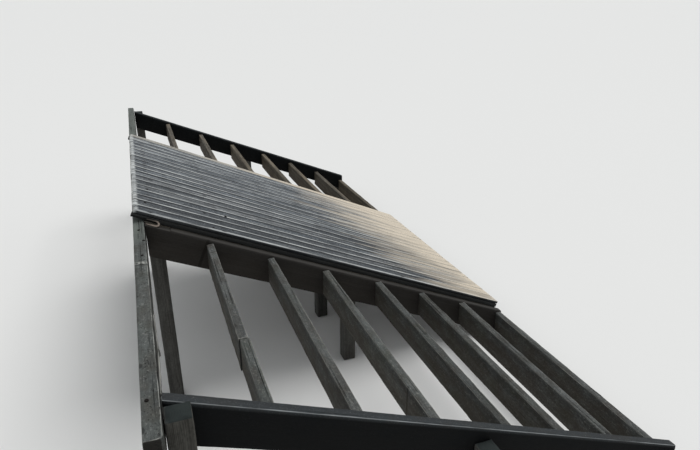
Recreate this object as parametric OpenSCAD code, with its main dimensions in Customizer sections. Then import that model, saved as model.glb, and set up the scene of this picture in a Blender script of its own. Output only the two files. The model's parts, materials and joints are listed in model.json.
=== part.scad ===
// Timber river-bank landing: a plank ramp laid over two flights of timber-edged steps.
// X runs from the bank towards the river, Y along the bank from the near end to the far end.
// The origin is under the middle of the whole landing, at the level of its lowest timber.

/* [Steps] */
// Distance from the sill beam to the river face of the first riser
first_going = 510; // [460:5:600]
// Distance from one riser to the next, towards the river
going = 490; // [460:5:560]
// Height of one step
rise = 210; // [195:1:235]
// Drop from the top of the sill beam to the line that the riser tops follow
first_drop = 30; // [20:1:50]
// Thickness of a riser board
riser_t = 65; // [45:1:90]
// Depth of a riser board that stands on edge
riser_h = 240; // [200:5:300]
// Clear width of each flight of steps
flight_w = 2110; // [1700:10:2900]
// Distance from the closing board to the joint in the first near riser
joint_at = 1465; // [800:5:1600]
// Distance that the near length of that riser stands forward of the rest
joint_step = 8; // [0:1:15]
// Length of the loose end piece of that riser, next to the closing board
end_piece = 165; // [100:5:300]
// Width of the crack beside the end piece
crack = 4; // [2:1:8]

/* [Sill beam] */
// Thickness of the beam along the top of the bank
sill_w = 90; // [80:1:120]
// Depth of the sill beam
sill_h = 240; // [200:5:280]
// Length of the half lap that joins the beam's two lengths
sill_lap = 200; // [150:10:300]
// Length of the beam past each edge board
sill_overhang = 250; // [150:5:400]
// Radius of the worn corner at each end of the beam, towards the river
sill_corner = 28; // [10:1:40]

/* [Edge and closing boards] */
// Thickness of the sloping edge boards
edge_t = 65; // [45:1:90]
// Depth of the edge boards, square to their slope
edge_d = 240; // [200:5:280]
// Drop of the edge board's upper end below the top of the sill beam
edge_drop = 10; // [0:1:30]
// Height of the edge board's lower end above the lowest riser
edge_foot_show = 75; // [50:1:110]
// Thickness of the boards that close the inner ends of the steps, beside the ramp
closing_t = 65; // [45:1:80]
// Depth of the closing boards, square to the slope
closing_d = 260; // [230:5:290]
// Length of the worn slot at the near closing board's upper end
slot_length = 205; // [120:5:300]
// Depth of the worn slot
slot_d = 10; // [6:1:14]
// Radius of the worn edges along the tops of the beam, the risers and the sloping boards
worn_edge = 6; // [2:1:12]

/* [Ramp deck] */
// Number of full boards
board_count = 18; // [16:1:20]
// Width of a full board
board_w = 145; // [120:1:160]
// Gap between boards
board_gap = 5; // [3:1:10]
// Thickness of a board
board_t = 32; // [25:1:40]
// Width of the narrow board next to the far edge
narrow_w = 60; // [40:1:90]
// Width of the strip along the far edge
strip_w = 52; // [46:1:70]
// Width of the eased edges along a board's face
arris = 3; // [1:0.5:5]
// Radius of the worn upper end of a board
worn_r = 24; // [10:1:24]
// Distance that the boards' upper ends stop short of the beam's bank face
deck_set_in = 20; // [0:1:60]
// Distance that the boards stop short of the landing's river end
deck_short = 5; // [0:5:100]
// Height of the deck's line above the lowest riser, at the landing's river end
deck_foot_show = 80; // [70:1:110]
// Distance that the deck laps over the closing boards
deck_lap = 5; // [2:1:15]

/* [Ramp frame] */
// Width of the battens under the deck's two edges
rim_t = 45; // [38:1:60]
// Depth of the battens and cross bearers, square to the slope
bearer_d = 42; // [35:1:60]
// Width of a cross bearer, along the slope
bearer_w = 75; // [50:1:100]
// Number of cross bearers
bearer_count = 7; // [5:1:9]
// Distance from the sill beam to the first cross bearer, along the slope
bearer_start = 22; // [10:1:60]
// Thickness of the joists
joist_t = 65; // [50:1:90]
// Depth of the joists, square to the slope
joist_d = 150; // [140:1:170]
// Height of the level cut that seats the joists on the foot sill
foot_seat = 35; // [30:1:45]

/* [Posts] */
// Width of the square posts
post_w = 125; // [90:1:130]
// Drop of a corner post's top below the top of the sill beam
corner_post_drop = 40; // [20:1:80]
// Drop of the other outer posts below the edge board's top edge
side_post_drop = 90; // [60:1:150]

/* [Hidden] */
riser_count = 7;
$fn = 48;

// Distance that a cut runs past the timber that it cuts
over = 1;
// Gap in a butt joint
tight = 0.4;
// Distance of each riser from its even place, towards the river, as it was laid by hand
riser_shift = [0, 5, 10, 40, 20, 10, -15];

// Places along the slope
run = first_going + (riser_count - 1) * going;
lowest_top = riser_count * rise + first_drop;
ground_drop = lowest_top + riser_h;

// The deck and its bearers lie on the joists, whose tops start at the beam's top edge, so the
// ramp's angle follows from its height at the foot
seat_depth = board_t + bearer_d;
ramp_fall = lowest_top - deck_foot_show;
ramp_angle = atan2(ramp_fall, run) + asin(seat_depth / norm([run, ramp_fall]));
ramp_head = seat_depth / cos(ramp_angle);
deck_start = (deck_set_in - sill_w) / cos(ramp_angle);
deck_end = (run - deck_short) / cos(ramp_angle);
deck_length = deck_end - deck_start;
bank_reach = max(sill_w, sill_w - deck_set_in + seat_depth * sin(ramp_angle));

// Place of the foot sill, flush with the lower ends of the battens
foot_face = run - deck_short - seat_depth * sin(ramp_angle);
foot_sill_top = ramp_z(foot_face, seat_depth + joist_d) + foot_seat;

// Places across the ramp, from the deck's near edge
board_pitch = board_w + board_gap;
narrow_y = board_count * board_pitch;
strip_y = narrow_y + narrow_w + board_gap;
ramp_w = strip_y + strip_w;
closing_face = deck_lap - closing_t;
near_inner_y = ramp_w / 3;
boards_in_group = ceil(board_count / 3);

// Places of the near flight, which the far one mirrors
edge_in = closing_face - flight_w;
edge_out = edge_in - edge_t;
sill_end = edge_out - sill_overhang;
edge_fall = (lowest_top - edge_foot_show - edge_drop) / run;

// Places of the posts
middle_x = run / 2 - post_w / 2;
foot_x = run - post_w;

weathered = [0.47, 0.45, 0.42];
shaded = [0.36, 0.35, 0.34];
dusty = [0.55, 0.50, 0.43];

// Height of a line in the ramp, at distance x from the sill beam and a depth below the deck's face
function ramp_z(x, depth) = ramp_head - x * tan(ramp_angle) - depth / cos(ramp_angle);

// Height of the edge boards' top edge
function edge_z(x) = -edge_drop - x * edge_fall;

// Height of a riser's top
function riser_z(i) = -(rise * i + first_drop);

// River face of a riser
function riser_x(i) = first_going + (i - 1) * going + riser_shift[i - 1];

// Moves the landing from the sill beam's river edge to the origin
module on_site() {
    translate([(bank_reach - run) / 2, -ramp_w / 2, ground_drop]) children();
}

// Mirrors what stands on the ramp's near side to its far side
module far_side() {
    translate([0, ramp_w, 0]) mirror([0, 1, 0]) children();
}

// Turns an outline drawn in X and Z into a solid from y0 to y1
module across(y0, y1) {
    translate([0, y1, 0]) rotate([90, 0, 0]) linear_extrude(height = y1 - y0) children();
}

// Turns an outline drawn in Y and Z into a solid from x0 to x1
module along(x0, x1) {
    translate([x0, 0, 0]) rotate([90, 0, 90]) linear_extrude(height = x1 - x0) children();
}

// Moves to the deck's face, with X down the slope
module on_slope() {
    translate([0, 0, ramp_head]) rotate([0, ramp_angle, 0]) children();
}

// Outline of a timber's end, with its two top edges worn round
module worn_outline(w, h) {
    square([w, h - worn_edge]);
    translate([worn_edge, 0]) square([w - 2 * worn_edge, h]);
    for (left = [0, w - worn_edge]) intersection() {
        translate([left == 0 ? worn_edge : left, h - worn_edge]) circle(r = worn_edge);
        translate([left, h - worn_edge]) square(worn_edge);
    }
}

// A sloping board with worn edges, plumb at its ends and cut level at the foot of the bank
module sloping_board(y, t, depth, top, angle) {
    length = run / cos(angle) + depth * tan(angle);
    intersection() {
        translate([0, y, top]) rotate([0, angle, 0])
            along(-over, length + over) translate([0, -depth]) worn_outline(t, depth);
        translate([0, y - over, -ground_drop]) cube([run, t + 2 * over, ground_drop + over]);
    }
}

// The beam along the top of the bank, worn round at the end that lies at y0
module beam_length(y0, y1) {
    difference() {
        across(y0, y1) translate([-sill_w, -sill_h]) worn_outline(sill_w, sill_h);
        translate([-sill_corner, y0 + sill_corner, -sill_h - over]) difference() {
            translate([0, -sill_corner - over, 0])
                cube([sill_corner + over, sill_corner + over, sill_h + 2 * over]);
            cylinder(r = sill_corner, h = sill_h + 2 * over);
        }
    }
}

// Half of the lap joint, taken off the top or the underside of a beam's length
module lap_cut(y0, z0) {
    translate([-sill_w - over, y0, z0])
        cube([sill_w + 2 * over, sill_lap + over, sill_h / 2 + over]);
}

module near_sill_beam() {
    lap_y = near_inner_y - sill_lap / 2;
    color(weathered) on_site() difference() {
        beam_length(sill_end, lap_y + sill_lap);
        lap_cut(lap_y, -sill_h / 2);
    }
}

module far_sill_beam() {
    lap_y = near_inner_y - sill_lap / 2;
    color(weathered) on_site() difference() {
        far_side() beam_length(sill_end, ramp_w - lap_y);
        lap_cut(lap_y - over, -sill_h - over);
    }
}

// A riser board on edge
module riser(i, y0, y1, forward = 0) {
    across(y0, y1) translate([riser_x(i) - riser_t + forward, riser_z(i) - riser_h])
        worn_outline(riser_t, riser_h);
}

// The first near riser, laid in two lengths, with its end split off beside the closing board
module jointed_riser() {
    joint_y = closing_face - joint_at;
    crack_y = closing_face - end_piece - crack;
    riser(1, edge_in, joint_y - tight, joint_step);
    riser(1, joint_y, crack_y);
    riser(1, crack_y + crack, closing_face);
}

module near_riser(i) {
    color(weathered) on_site() {
        if (i == 1) jointed_riser();
        else riser(i, edge_in, closing_face);
    }
}

module far_riser(i) {
    color(dusty) on_site() far_side() riser(i, edge_in, closing_face);
}

// A sloping board that closes the outer ends of the steps
module edge_board() {
    sloping_board(edge_out, edge_t, edge_d, -edge_drop, atan(edge_fall));
}

module near_edge_board() {
    color(weathered) on_site() edge_board();
}

module far_edge_board() {
    color(dusty) on_site() far_side() edge_board();
}

// A board that closes the inner ends of the steps, with its top level with the joists
module closing_board() {
    sloping_board(closing_face, closing_t, closing_d, 0, ramp_angle);
}

// The slot with a round end that rot has left between a closing board and the deck's batten
module worn_slot() {
    on_slope() across(closing_face - over, deck_lap + over) translate([0, -seat_depth]) {
        translate([-sill_w, -slot_d]) square([sill_w + slot_length - slot_d, slot_d + over]);
        translate([slot_length - slot_d, 0]) circle(r = slot_d);
    }
}

module near_closing_board() {
    color(shaded) on_site() difference() {
        closing_board();
        worn_slot();
    }
}

module far_closing_board() {
    color(shaded) on_site() far_side() closing_board();
}

// A joist with its upper end on the sill beam and a level seat on the foot sill
module joist(y) {
    low_depth = seat_depth + joist_d;
    difference() {
        across(y, y + joist_t) polygon([
            [0, ramp_z(0, low_depth)], [foot_face, ramp_z(foot_face, low_depth)],
            [foot_face, ramp_z(foot_face, seat_depth)], [0, ramp_z(0, seat_depth)]
        ]);
        translate([foot_face - riser_t, y - over, -ground_drop])
            cube([riser_t + over, joist_t + 2 * over, foot_sill_top + ground_drop]);
    }
}

module near_side_joist() {
    color(shaded) on_site() joist(deck_lap);
}

module far_side_joist() {
    color(shaded) on_site() far_side() joist(deck_lap);
}

module near_inner_joist() {
    color(shaded) on_site() joist(near_inner_y - joist_t / 2);
}

module far_inner_joist() {
    color(shaded) on_site() far_side() joist(near_inner_y - joist_t / 2);
}

// The timber across the ramp's foot, which carries the joists between the closing boards
module ramp_foot_sill() {
    color(shaded) on_site() translate([foot_face - riser_t, deck_lap, -ground_drop])
        cube([riser_t, ramp_w - 2 * deck_lap, foot_sill_top + ground_drop]);
}

// A batten under the deck's edge, which shows as the dark face below the boards
module rim_batten() {
    on_slope() translate([deck_start, deck_lap, -seat_depth]) cube([deck_length, rim_t, bearer_d]);
}

module near_rim_batten() {
    color(shaded) on_site() rim_batten();
}

module far_rim_batten() {
    color(shaded) on_site() far_side() rim_batten();
}

module cross_bearers() {
    first_y = deck_lap + rim_t;
    spacing = (deck_end - bearer_w - bearer_start) / (bearer_count - 1);
    color(shaded) on_site() on_slope() for (i = [0 : bearer_count - 1])
        translate([bearer_start + i * spacing, first_y, -seat_depth])
            cube([bearer_w, ramp_w - 2 * first_y, bearer_d]);
}

// Side view of a deck board, with its upper end worn round
module board_side() {
    translate([worn_r, -board_t]) square([deck_length - worn_r, board_t]);
    translate([0, -board_t]) square([worn_r, board_t - worn_r]);
    intersection() {
        translate([worn_r, -worn_r]) circle(r = worn_r);
        translate([0, -worn_r]) square(worn_r);
    }
}

// End view of a deck board, with the edges of its face eased
module board_end(w) {
    polygon([[0, -board_t], [w, -board_t], [w, -arris], [w - arris, 0], [arris, 0], [0, -arris]]);
}

module deck_board(y, w) {
    on_slope() translate([deck_start, y, 0]) intersection() {
        across(0, w) board_side();
        along(-over, deck_length + over) board_end(w);
    }
}

module deck_group(first, last) {
    color(weathered) on_site() for (i = [first : last]) deck_board(i * board_pitch, board_w);
}

module near_deck_boards() {
    deck_group(0, boards_in_group - 1);
}

module middle_deck_boards() {
    deck_group(boards_in_group, 2 * boards_in_group - 1);
}

module far_deck_boards() {
    deck_group(2 * boards_in_group, board_count - 1);
}

module narrow_deck_board() {
    color(weathered) on_site() deck_board(narrow_y, narrow_w);
}

module deck_edge_strip() {
    color(dusty) on_site() deck_board(strip_y, strip_w);
}

// A square post outside an edge board, from the lowest level up to a flat top
module side_post(x, top) {
    translate([x, edge_out - post_w, -ground_drop]) cube([post_w, post_w, top + ground_drop]);
}

module middle_post() {
    color(weathered) side_post(middle_x, edge_z(middle_x + post_w / 2) - side_post_drop);
}

module foot_post() {
    color(weathered) side_post(foot_x, edge_z(foot_x + post_w / 2) - side_post_drop);
}

module near_corner_post() {
    color(weathered) on_site() side_post(0, -corner_post_drop);
}

module near_middle_post() {
    on_site() middle_post();
}

module near_foot_post() {
    on_site() foot_post();
}

module far_corner_post() {
    color(weathered) on_site() far_side() side_post(0, -corner_post_drop);
}

module far_middle_post() {
    on_site() far_side() middle_post();
}

module far_foot_post() {
    on_site() far_side() foot_post();
}

// A square post under a joist, cut to the joist's slope
module joist_post(x, y) {
    depth = seat_depth + joist_d;
    color(shaded) across(y, y + post_w) polygon([
        [x, -ground_drop], [x + post_w, -ground_drop],
        [x + post_w, ramp_z(x + post_w, depth)], [x, ramp_z(x, depth)]
    ]);
}

module near_head_post() {
    on_site() joist_post(0, deck_lap);
}

module far_head_post() {
    on_site() far_side() joist_post(0, deck_lap);
}

module near_joist_post() {
    on_site() joist_post(middle_x, deck_lap);
}

module far_joist_post() {
    on_site() far_side() joist_post(middle_x, deck_lap);
}

module near_inner_post() {
    on_site() joist_post(middle_x, near_inner_y - post_w / 2);
}

module far_inner_post() {
    on_site() far_side() joist_post(middle_x, near_inner_y - post_w / 2);
}

near_sill_beam();
far_sill_beam();
for (i = [1 : riser_count]) {
    near_riser(i);
    far_riser(i);
}
near_edge_board();
far_edge_board();
near_closing_board();
far_closing_board();
near_rim_batten();
far_rim_batten();
cross_bearers();
near_side_joist();
far_side_joist();
near_inner_joist();
far_inner_joist();
ramp_foot_sill();
near_deck_boards();
middle_deck_boards();
far_deck_boards();
narrow_deck_board();
deck_edge_strip();
near_corner_post();
near_middle_post();
near_foot_post();
far_corner_post();
far_middle_post();
far_foot_post();
near_head_post();
far_head_post();
near_joist_post();
far_joist_post();
near_inner_post();
far_inner_post();
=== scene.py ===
"""Dresses the timber landing: worn boards, risers, beams, posts and nails around its frame.

Every timber is sawn lengthwise on a bench, along +X with its top face at z = 0, then weathered and carried
to its place. In the landing, +X is the front, towards the ramp's foot, and +Y runs from the near end to the
far end. Places start at the corner where the beam's front edge, the beam's top and the deck's near edge meet.
All sizes are in metres.
"""

import json
import logging
import math
import random
from collections.abc import Callable, Iterator
from contextlib import contextmanager
from dataclasses import dataclass, field, replace
from enum import Enum
from functools import partial

import bmesh
import bpy
from mathutils import Matrix, Vector

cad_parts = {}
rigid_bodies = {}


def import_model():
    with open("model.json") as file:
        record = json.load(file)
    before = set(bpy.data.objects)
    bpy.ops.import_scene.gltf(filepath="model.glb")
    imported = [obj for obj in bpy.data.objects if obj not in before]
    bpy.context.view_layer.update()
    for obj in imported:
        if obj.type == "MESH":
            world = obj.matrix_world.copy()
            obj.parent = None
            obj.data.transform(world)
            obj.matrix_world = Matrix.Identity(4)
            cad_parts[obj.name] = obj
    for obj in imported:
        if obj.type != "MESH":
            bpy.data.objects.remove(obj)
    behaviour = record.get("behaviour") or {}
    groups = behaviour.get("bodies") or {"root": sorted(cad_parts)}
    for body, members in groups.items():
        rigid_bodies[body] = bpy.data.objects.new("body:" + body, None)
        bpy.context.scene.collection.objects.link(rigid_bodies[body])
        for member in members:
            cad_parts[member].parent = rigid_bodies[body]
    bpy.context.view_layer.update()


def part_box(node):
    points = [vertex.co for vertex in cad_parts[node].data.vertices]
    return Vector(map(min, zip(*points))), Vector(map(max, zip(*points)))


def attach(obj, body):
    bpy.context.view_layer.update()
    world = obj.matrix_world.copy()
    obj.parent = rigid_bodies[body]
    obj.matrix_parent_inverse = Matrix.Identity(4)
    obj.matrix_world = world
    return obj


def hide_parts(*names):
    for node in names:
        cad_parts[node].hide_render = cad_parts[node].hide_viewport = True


log = logging.getLogger("landing")

Colour = tuple[float, float, float]
Corner = tuple[float, float, float]
Piece = bpy.types.Object
Socket = bpy.types.NodeSocket
Value = Socket | float
Tint = Socket | Colour

BODY = "root"
TINY = 1e-4
SHARP = math.radians(40.0)


class Side(Enum):
    """The two sides of the ramp, as they start the names of the nodes."""

    NEAR = "near"
    FAR = "far"


def alone(piece: Piece) -> None:
    """Selects one piece and nothing else, and makes it the active one.

    Args:
        piece: The piece.
    """
    bpy.ops.object.select_all(action="DESELECT")
    piece.select_set(True)
    bpy.context.view_layer.objects.active = piece


@contextmanager
def editing(piece: Piece) -> Iterator[None]:
    """Edit mode on one piece, which starts with nothing selected.

    Args:
        piece: The piece to shape.

    Yields:
        Nothing; the piece leaves edit mode at the end.
    """
    alone(piece)
    bpy.ops.object.mode_set(mode="EDIT")
    bpy.ops.mesh.select_all(action="DESELECT")
    try:
        yield
    finally:
        bpy.ops.object.mode_set(mode="OBJECT")


def pick_edges(piece: Piece, wanted: Callable[[Vector, Vector], bool]) -> bool:
    """Selects the edges whose two ends pass a test, in edit mode.

    Args:
        piece: The piece that is in edit mode.
        wanted: Says whether an edge is wanted, from the places of its two ends.

    Returns:
        Whether any edge was selected.
    """
    bpy.ops.mesh.select_mode(type="EDGE")
    mesh = bmesh.from_edit_mesh(piece.data)
    for edge in mesh.edges:
        edge.select_set(wanted(edge.verts[0].co, edge.verts[1].co))
    bmesh.update_edit_mesh(piece.data)
    return any(edge.select for edge in mesh.edges)


def pick_faces(piece: Piece, wanted: Callable[[Vector, Vector], bool]) -> None:
    """Selects the faces whose middle and normal pass a test, in edit mode.

    Args:
        piece: The piece that is in edit mode.
        wanted: Says whether a face is wanted, from its middle and its normal.
    """
    bpy.ops.mesh.select_mode(type="FACE")
    mesh = bmesh.from_edit_mesh(piece.data)
    for face in mesh.faces:
        face.select_set(wanted(face.calc_center_median(), face.normal))
    bmesh.update_edit_mesh(piece.data)


def pick_points(piece: Piece, wanted: Callable[[Vector], bool]) -> None:
    """Selects the points whose place passes a test, in edit mode.

    Args:
        piece: The piece that is in edit mode.
        wanted: Says whether a point is wanted, from its place.
    """
    bpy.ops.mesh.select_mode(type="VERT")
    mesh = bmesh.from_edit_mesh(piece.data)
    for point in mesh.verts:
        point.select_set(wanted(point.co))
    bmesh.update_edit_mesh(piece.data)


def slice_across(axis: int, at: float) -> None:
    """Slices all faces of the piece in edit mode with a plane across one axis.

    Args:
        axis: The axis, from 0 for X to 2 for Z.
        at: Where on that axis the plane lies.
    """
    normal = [float(axis == i) for i in range(3)]
    bpy.ops.mesh.select_all(action="SELECT")
    bpy.ops.mesh.bisect(plane_co=[at * n for n in normal], plane_no=normal)


def cut_off(point: Corner, normal: Corner) -> None:
    """Cuts off what the piece in edit mode has beyond a plane, and closes the cut."""
    bpy.ops.mesh.select_all(action="SELECT")
    bpy.ops.mesh.bisect(plane_co=point, plane_no=normal, use_fill=True, clear_outer=True)


def block(name: str, low: Vector, high: Vector) -> Piece:
    """Adds a block, from which a piece is then shaped.

    Args:
        name: Its name.
        low: Its lowest corner.
        high: Its highest corner.

    Returns:
        The block.
    """
    bpy.ops.object.select_all(action="DESELECT")
    bpy.ops.mesh.primitive_cube_add(size=1.0, location=(low + high) / 2)
    piece = bpy.context.active_object
    piece.name = name
    piece.scale = high - low
    bpy.ops.object.transform_apply(location=True, rotation=True, scale=True)
    return piece


def joined(pieces: list[Piece], name: str) -> Piece:
    """Joins pieces into one.

    Args:
        pieces: The pieces, of which the first takes up the others.
        name: The name of the joined piece.

    Returns:
        The joined piece.
    """
    alone(pieces[0])
    for piece in pieces:
        piece.select_set(True)
    if len(pieces) > 1:
        bpy.ops.object.join()
    pieces[0].name = name
    return pieces[0]


def settle(piece: Piece, place: Matrix) -> None:
    """Carries a piece to its place, and puts that place in its mesh.

    Args:
        piece: The piece, as it stands on the bench.
        place: The place of the bench in the landing.
    """
    alone(piece)
    piece.matrix_world = place
    bpy.ops.object.transform_apply(location=True, rotation=True, scale=True)


def note(piece: Piece, name: str, values: list[float]) -> None:
    """Notes a value or a vector on each point of a piece, for its finish to read.

    Args:
        piece: The piece.
        name: The name under which the finish reads it.
        values: One number for each point, or three.
    """
    single = len(values) == len(piece.data.vertices)
    kind, holder = ("FLOAT", "value") if single else ("FLOAT_VECTOR", "vector")
    piece.data.attributes.new(name, kind, "POINT").data.foreach_set(holder, values)


def shaded(colour: Colour, share: float) -> Colour:
    """A colour made darker or lighter by a share."""
    return (colour[0] * share, colour[1] * share, colour[2] * share)


def rounded(size: float) -> float:
    """A size to a hundredth of a millimetre, so that equal timbers share one pattern."""
    return round(size, 5)


class Tree:
    """The node tree of one material, with short ways to add what a finish needs."""

    def __init__(self, name: str) -> None:
        """Starts an empty tree.

        Args:
            name: The material's name.
        """
        self.material = bpy.data.materials.new(name)
        self.material.use_nodes = True
        self.nodes = self.material.node_tree.nodes
        self.links = self.material.node_tree.links
        self.nodes.clear()

    def add(
        self, kind: str, inputs: dict[str | int, object] | None = None, **settings: object
    ) -> bpy.types.Node:
        """Adds a node.

        Args:
            kind: The node's type, without its ShaderNode prefix.
            inputs: Values or sockets for its inputs, by name or number.
            **settings: Values for its properties.

        Returns:
            The node.
        """
        node = self.nodes.new("ShaderNode" + kind)
        for name, value in settings.items():
            setattr(node, name, value)
        for name, value in (inputs or {}).items():
            if isinstance(value, Socket):
                self.links.new(value, node.inputs[name])
            else:
                node.inputs[name].default_value = value
        return node

    def attribute(self, name: str, output: str = "Vector") -> Socket:
        """What was noted on the piece's points under a name."""
        return self.add("Attribute", attribute_name=name).outputs[output]

    def parts(self, vector: Socket) -> tuple[Socket, ...]:
        """The X, the Y and the Z of a vector."""
        return tuple(self.add("SeparateXYZ", {0: vector}).outputs)

    def vectors(self, operation: str, first: Socket, second: Socket | Colour) -> Socket:
        """A sum of vectors, such as ADD or MULTIPLY."""
        return self.add("VectorMath", {0: first, 1: second}, operation=operation).outputs[0]

    def reach(self, vector: Socket) -> Socket:
        """The length of a vector."""
        return self.add("VectorMath", {0: vector}, operation="LENGTH").outputs["Value"]

    def sums(self, operation: str, first: Value, second: Value = 0.0, third: Value = 0.0) -> Socket:
        """A sum of values, such as SUBTRACT or ABSOLUTE."""
        return self.add("Math", {0: first, 1: second, 2: third}, operation=operation).outputs[0]

    def times(self, first: Value, *others: Value) -> Socket:
        """The product of some values.

        Args:
            first: The first of them.
            *others: The others.

        Returns:
            Their product.
        """
        for other in others:
            first = self.sums("MULTIPLY", first, other)
        return first

    def times_plus(self, value: Value, factor: Value, plus: Value) -> Socket:
        """A value times a factor, plus another value."""
        return self.sums("MULTIPLY_ADD", value, factor, plus)

    def between(self, value: Value, low: Value, high: Value) -> Socket:
        """How far a value has gone from low to high, from 0 to 1."""
        return self.add("MapRange", {"Value": value, "From Min": low, "From Max": high}).outputs[0]

    def noise(
        self, place: Socket, shift: Value, scale: float, stretch: float = 1.0, detail: float = 4.0
    ) -> Socket:
        """Noise that is drawn out along the grain.

        Args:
            place: The place of a point on the bench.
            shift: A value that differs from timber to timber.
            scale: Spots to the metre, across the grain.
            stretch: How many times longer a spot is along the grain.
            detail: How many finer layers it has.

        Returns:
            The noise, which is mostly between 0.3 and 0.7.
        """
        scales = (1.0 / stretch, 1.0, 1.0)
        drawn = self.add("Mapping", {"Vector": place, "Scale": scales}, vector_type="POINT")
        node = self.add(
            "TexNoise",
            {"Vector": drawn.outputs[0], "W": shift, "Scale": scale, "Detail": detail, "Roughness": 0.55},
            noise_dimensions="4D",
        )
        return node.outputs["Fac"]

    def mix(self, share: Value, first: Tint, second: Tint) -> Socket:
        """One colour over another.

        Args:
            share: How much of the second colour shows.
            first: The colour below.
            second: The colour above.

        Returns:
            The mixed colour.
        """
        node = self.add("Mix", data_type="RGBA", blend_type="MIX")
        for socket, value in zip((node.inputs[0], node.inputs[6], node.inputs[7]), (share, first, second)):
            if isinstance(value, Socket):
                self.links.new(value, socket)
            else:
                socket.default_value = (*value, 1.0) if isinstance(value, tuple) else value
        return node.outputs[2]

    def finish(
        self, colour: object, rough: Value, height: Socket | None, depth: float, gloss: Value = 0.28
    ) -> bpy.types.Material:
        """Adds the surface itself.

        Args:
            colour: Its colour.
            rough: Its roughness.
            height: The relief of its surface, or None for a smooth one.
            depth: How deep that relief is.
            gloss: How much light it throws back without its colour.

        Returns:
            The finished material.
        """
        inputs: dict[str | int, object] = {
            "Roughness": rough, "Specular IOR Level": gloss, "Base Color": colour,
        }
        if height is not None:
            relief = self.add("Bump", {"Strength": 0.6, "Distance": depth, "Height": height})
            inputs["Normal"] = relief.outputs[0]
        shader = self.add("BsdfPrincipled", inputs)
        self.links.new(shader.outputs[0], self.add("OutputMaterial").inputs[0])
        return self.material


class Wood(Tree):
    """The node tree of old wood, with what the bench noted on a timber and the patterns of its grain.

    Attributes:
        place: The place of a point on the bench.
        along: How far along the timber the point lies.
        across: How far across it.
        depth: How far below its top face.
        rim: How far from the nearest edge.
        butt: Whether it lies on an end.
        tone: A value that differs from timber to timber, from 0 to 1.
        shift: The same, spread far enough to move a noise.
        painted_shade: How much painted shade the point takes, from 0 to 1, down a side or in a hollow.
        lit: The opposite of that.
        fibres: The finest grain.
        bands: Grain a finger wide.
        broad: Grain a thumb wide, in which whole streaks are light or dark.
        blots: Blots a hand wide.
        flecks: Flecks a thumb's width apart.
        grit: Specks as fine as grit.
        rings: Growth rings.
        late: How dense the wood is, from fibres, bands and rings.
    """

    def __init__(self, name: str) -> None:
        """Starts the tree with the timber's notes and patterns.

        Args:
            name: The material's name.
        """
        super().__init__(name)
        self.place = self.attribute("bench")
        self.along, self.across, height = self.parts(self.place)
        self.depth = self.times(height, -1.0)
        self.rim, self.butt, self.tone = self.parts(self.attribute("marks"))
        self.shift = self.times(self.tone, 37.0)
        self.painted_shade = self.attribute("painted_shade", "Fac")
        self.lit = self.sums("SUBTRACT", 1.0, self.painted_shade)
        self.fibres = self.own_noise(230.0, stretch=28.0, detail=3.0)
        self.bands = self.own_noise(38.0, stretch=26.0, detail=3.0)
        self.broad = self.own_noise(21.0, stretch=30.0, detail=2.0)
        self.blots = self.own_noise(13.0, stretch=1.8, detail=8.0)
        self.flecks = self.own_noise(84.0, stretch=1.5, detail=5.0)
        self.grit = self.own_noise(330.0, stretch=1.4, detail=2.0)
        self.rings = self._growth()
        dense = self.times_plus(self.fibres, 0.45, self.times(self.bands, 0.40))
        self.late = self.times_plus(self.rings, 0.10, dense)

    def own_noise(self, scale: float, stretch: float = 1.0, detail: float = 4.0) -> Socket:
        """Noise on the bench that differs from timber to timber."""
        return self.noise(self.place, self.shift, scale, stretch, detail)

    def _growth(self) -> Socket:
        """Growth rings round a heart that wanders below the top, which run through a timber as real ones do.

        Returns:
            The rings, light and dark by turns.
        """
        heart = self.add(
            "CombineXYZ",
            {
                0: self.times(self.tone, 31.0),
                1: self.times_plus(self.tone, 0.09, -0.10),
                2: self.times_plus(self.tone, 0.06, 0.09),
            },
        )
        moved = self.vectors("ADD", self.place, heart.outputs[0])
        drawn = self.add("Mapping", {"Vector": moved, "Scale": (0.12, 1.0, 1.0)}, vector_type="POINT")
        wave = self.add(
            "TexWave",
            {
                "Vector": drawn.outputs[0], "Scale": 50.0, "Distortion": 12.0, "Detail": 2.0,
                "Detail Scale": 0.10,
            },
            wave_type="RINGS",
            rings_direction="X",
        )
        return wave.outputs["Fac"]


@dataclass(frozen=True)
class NailRows:
    """Rows of nails across boards, which the heads and the stains round them share.

    Attributes:
        first: Distance along the board to the first row.
        pitch: Distance from one row to the next.
        count: Number of rows.
        width: Width of a board.
        inset: Distance of a nail from the board's middle.
    """

    first: float
    pitch: float
    count: int
    width: float
    inset: float


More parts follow.
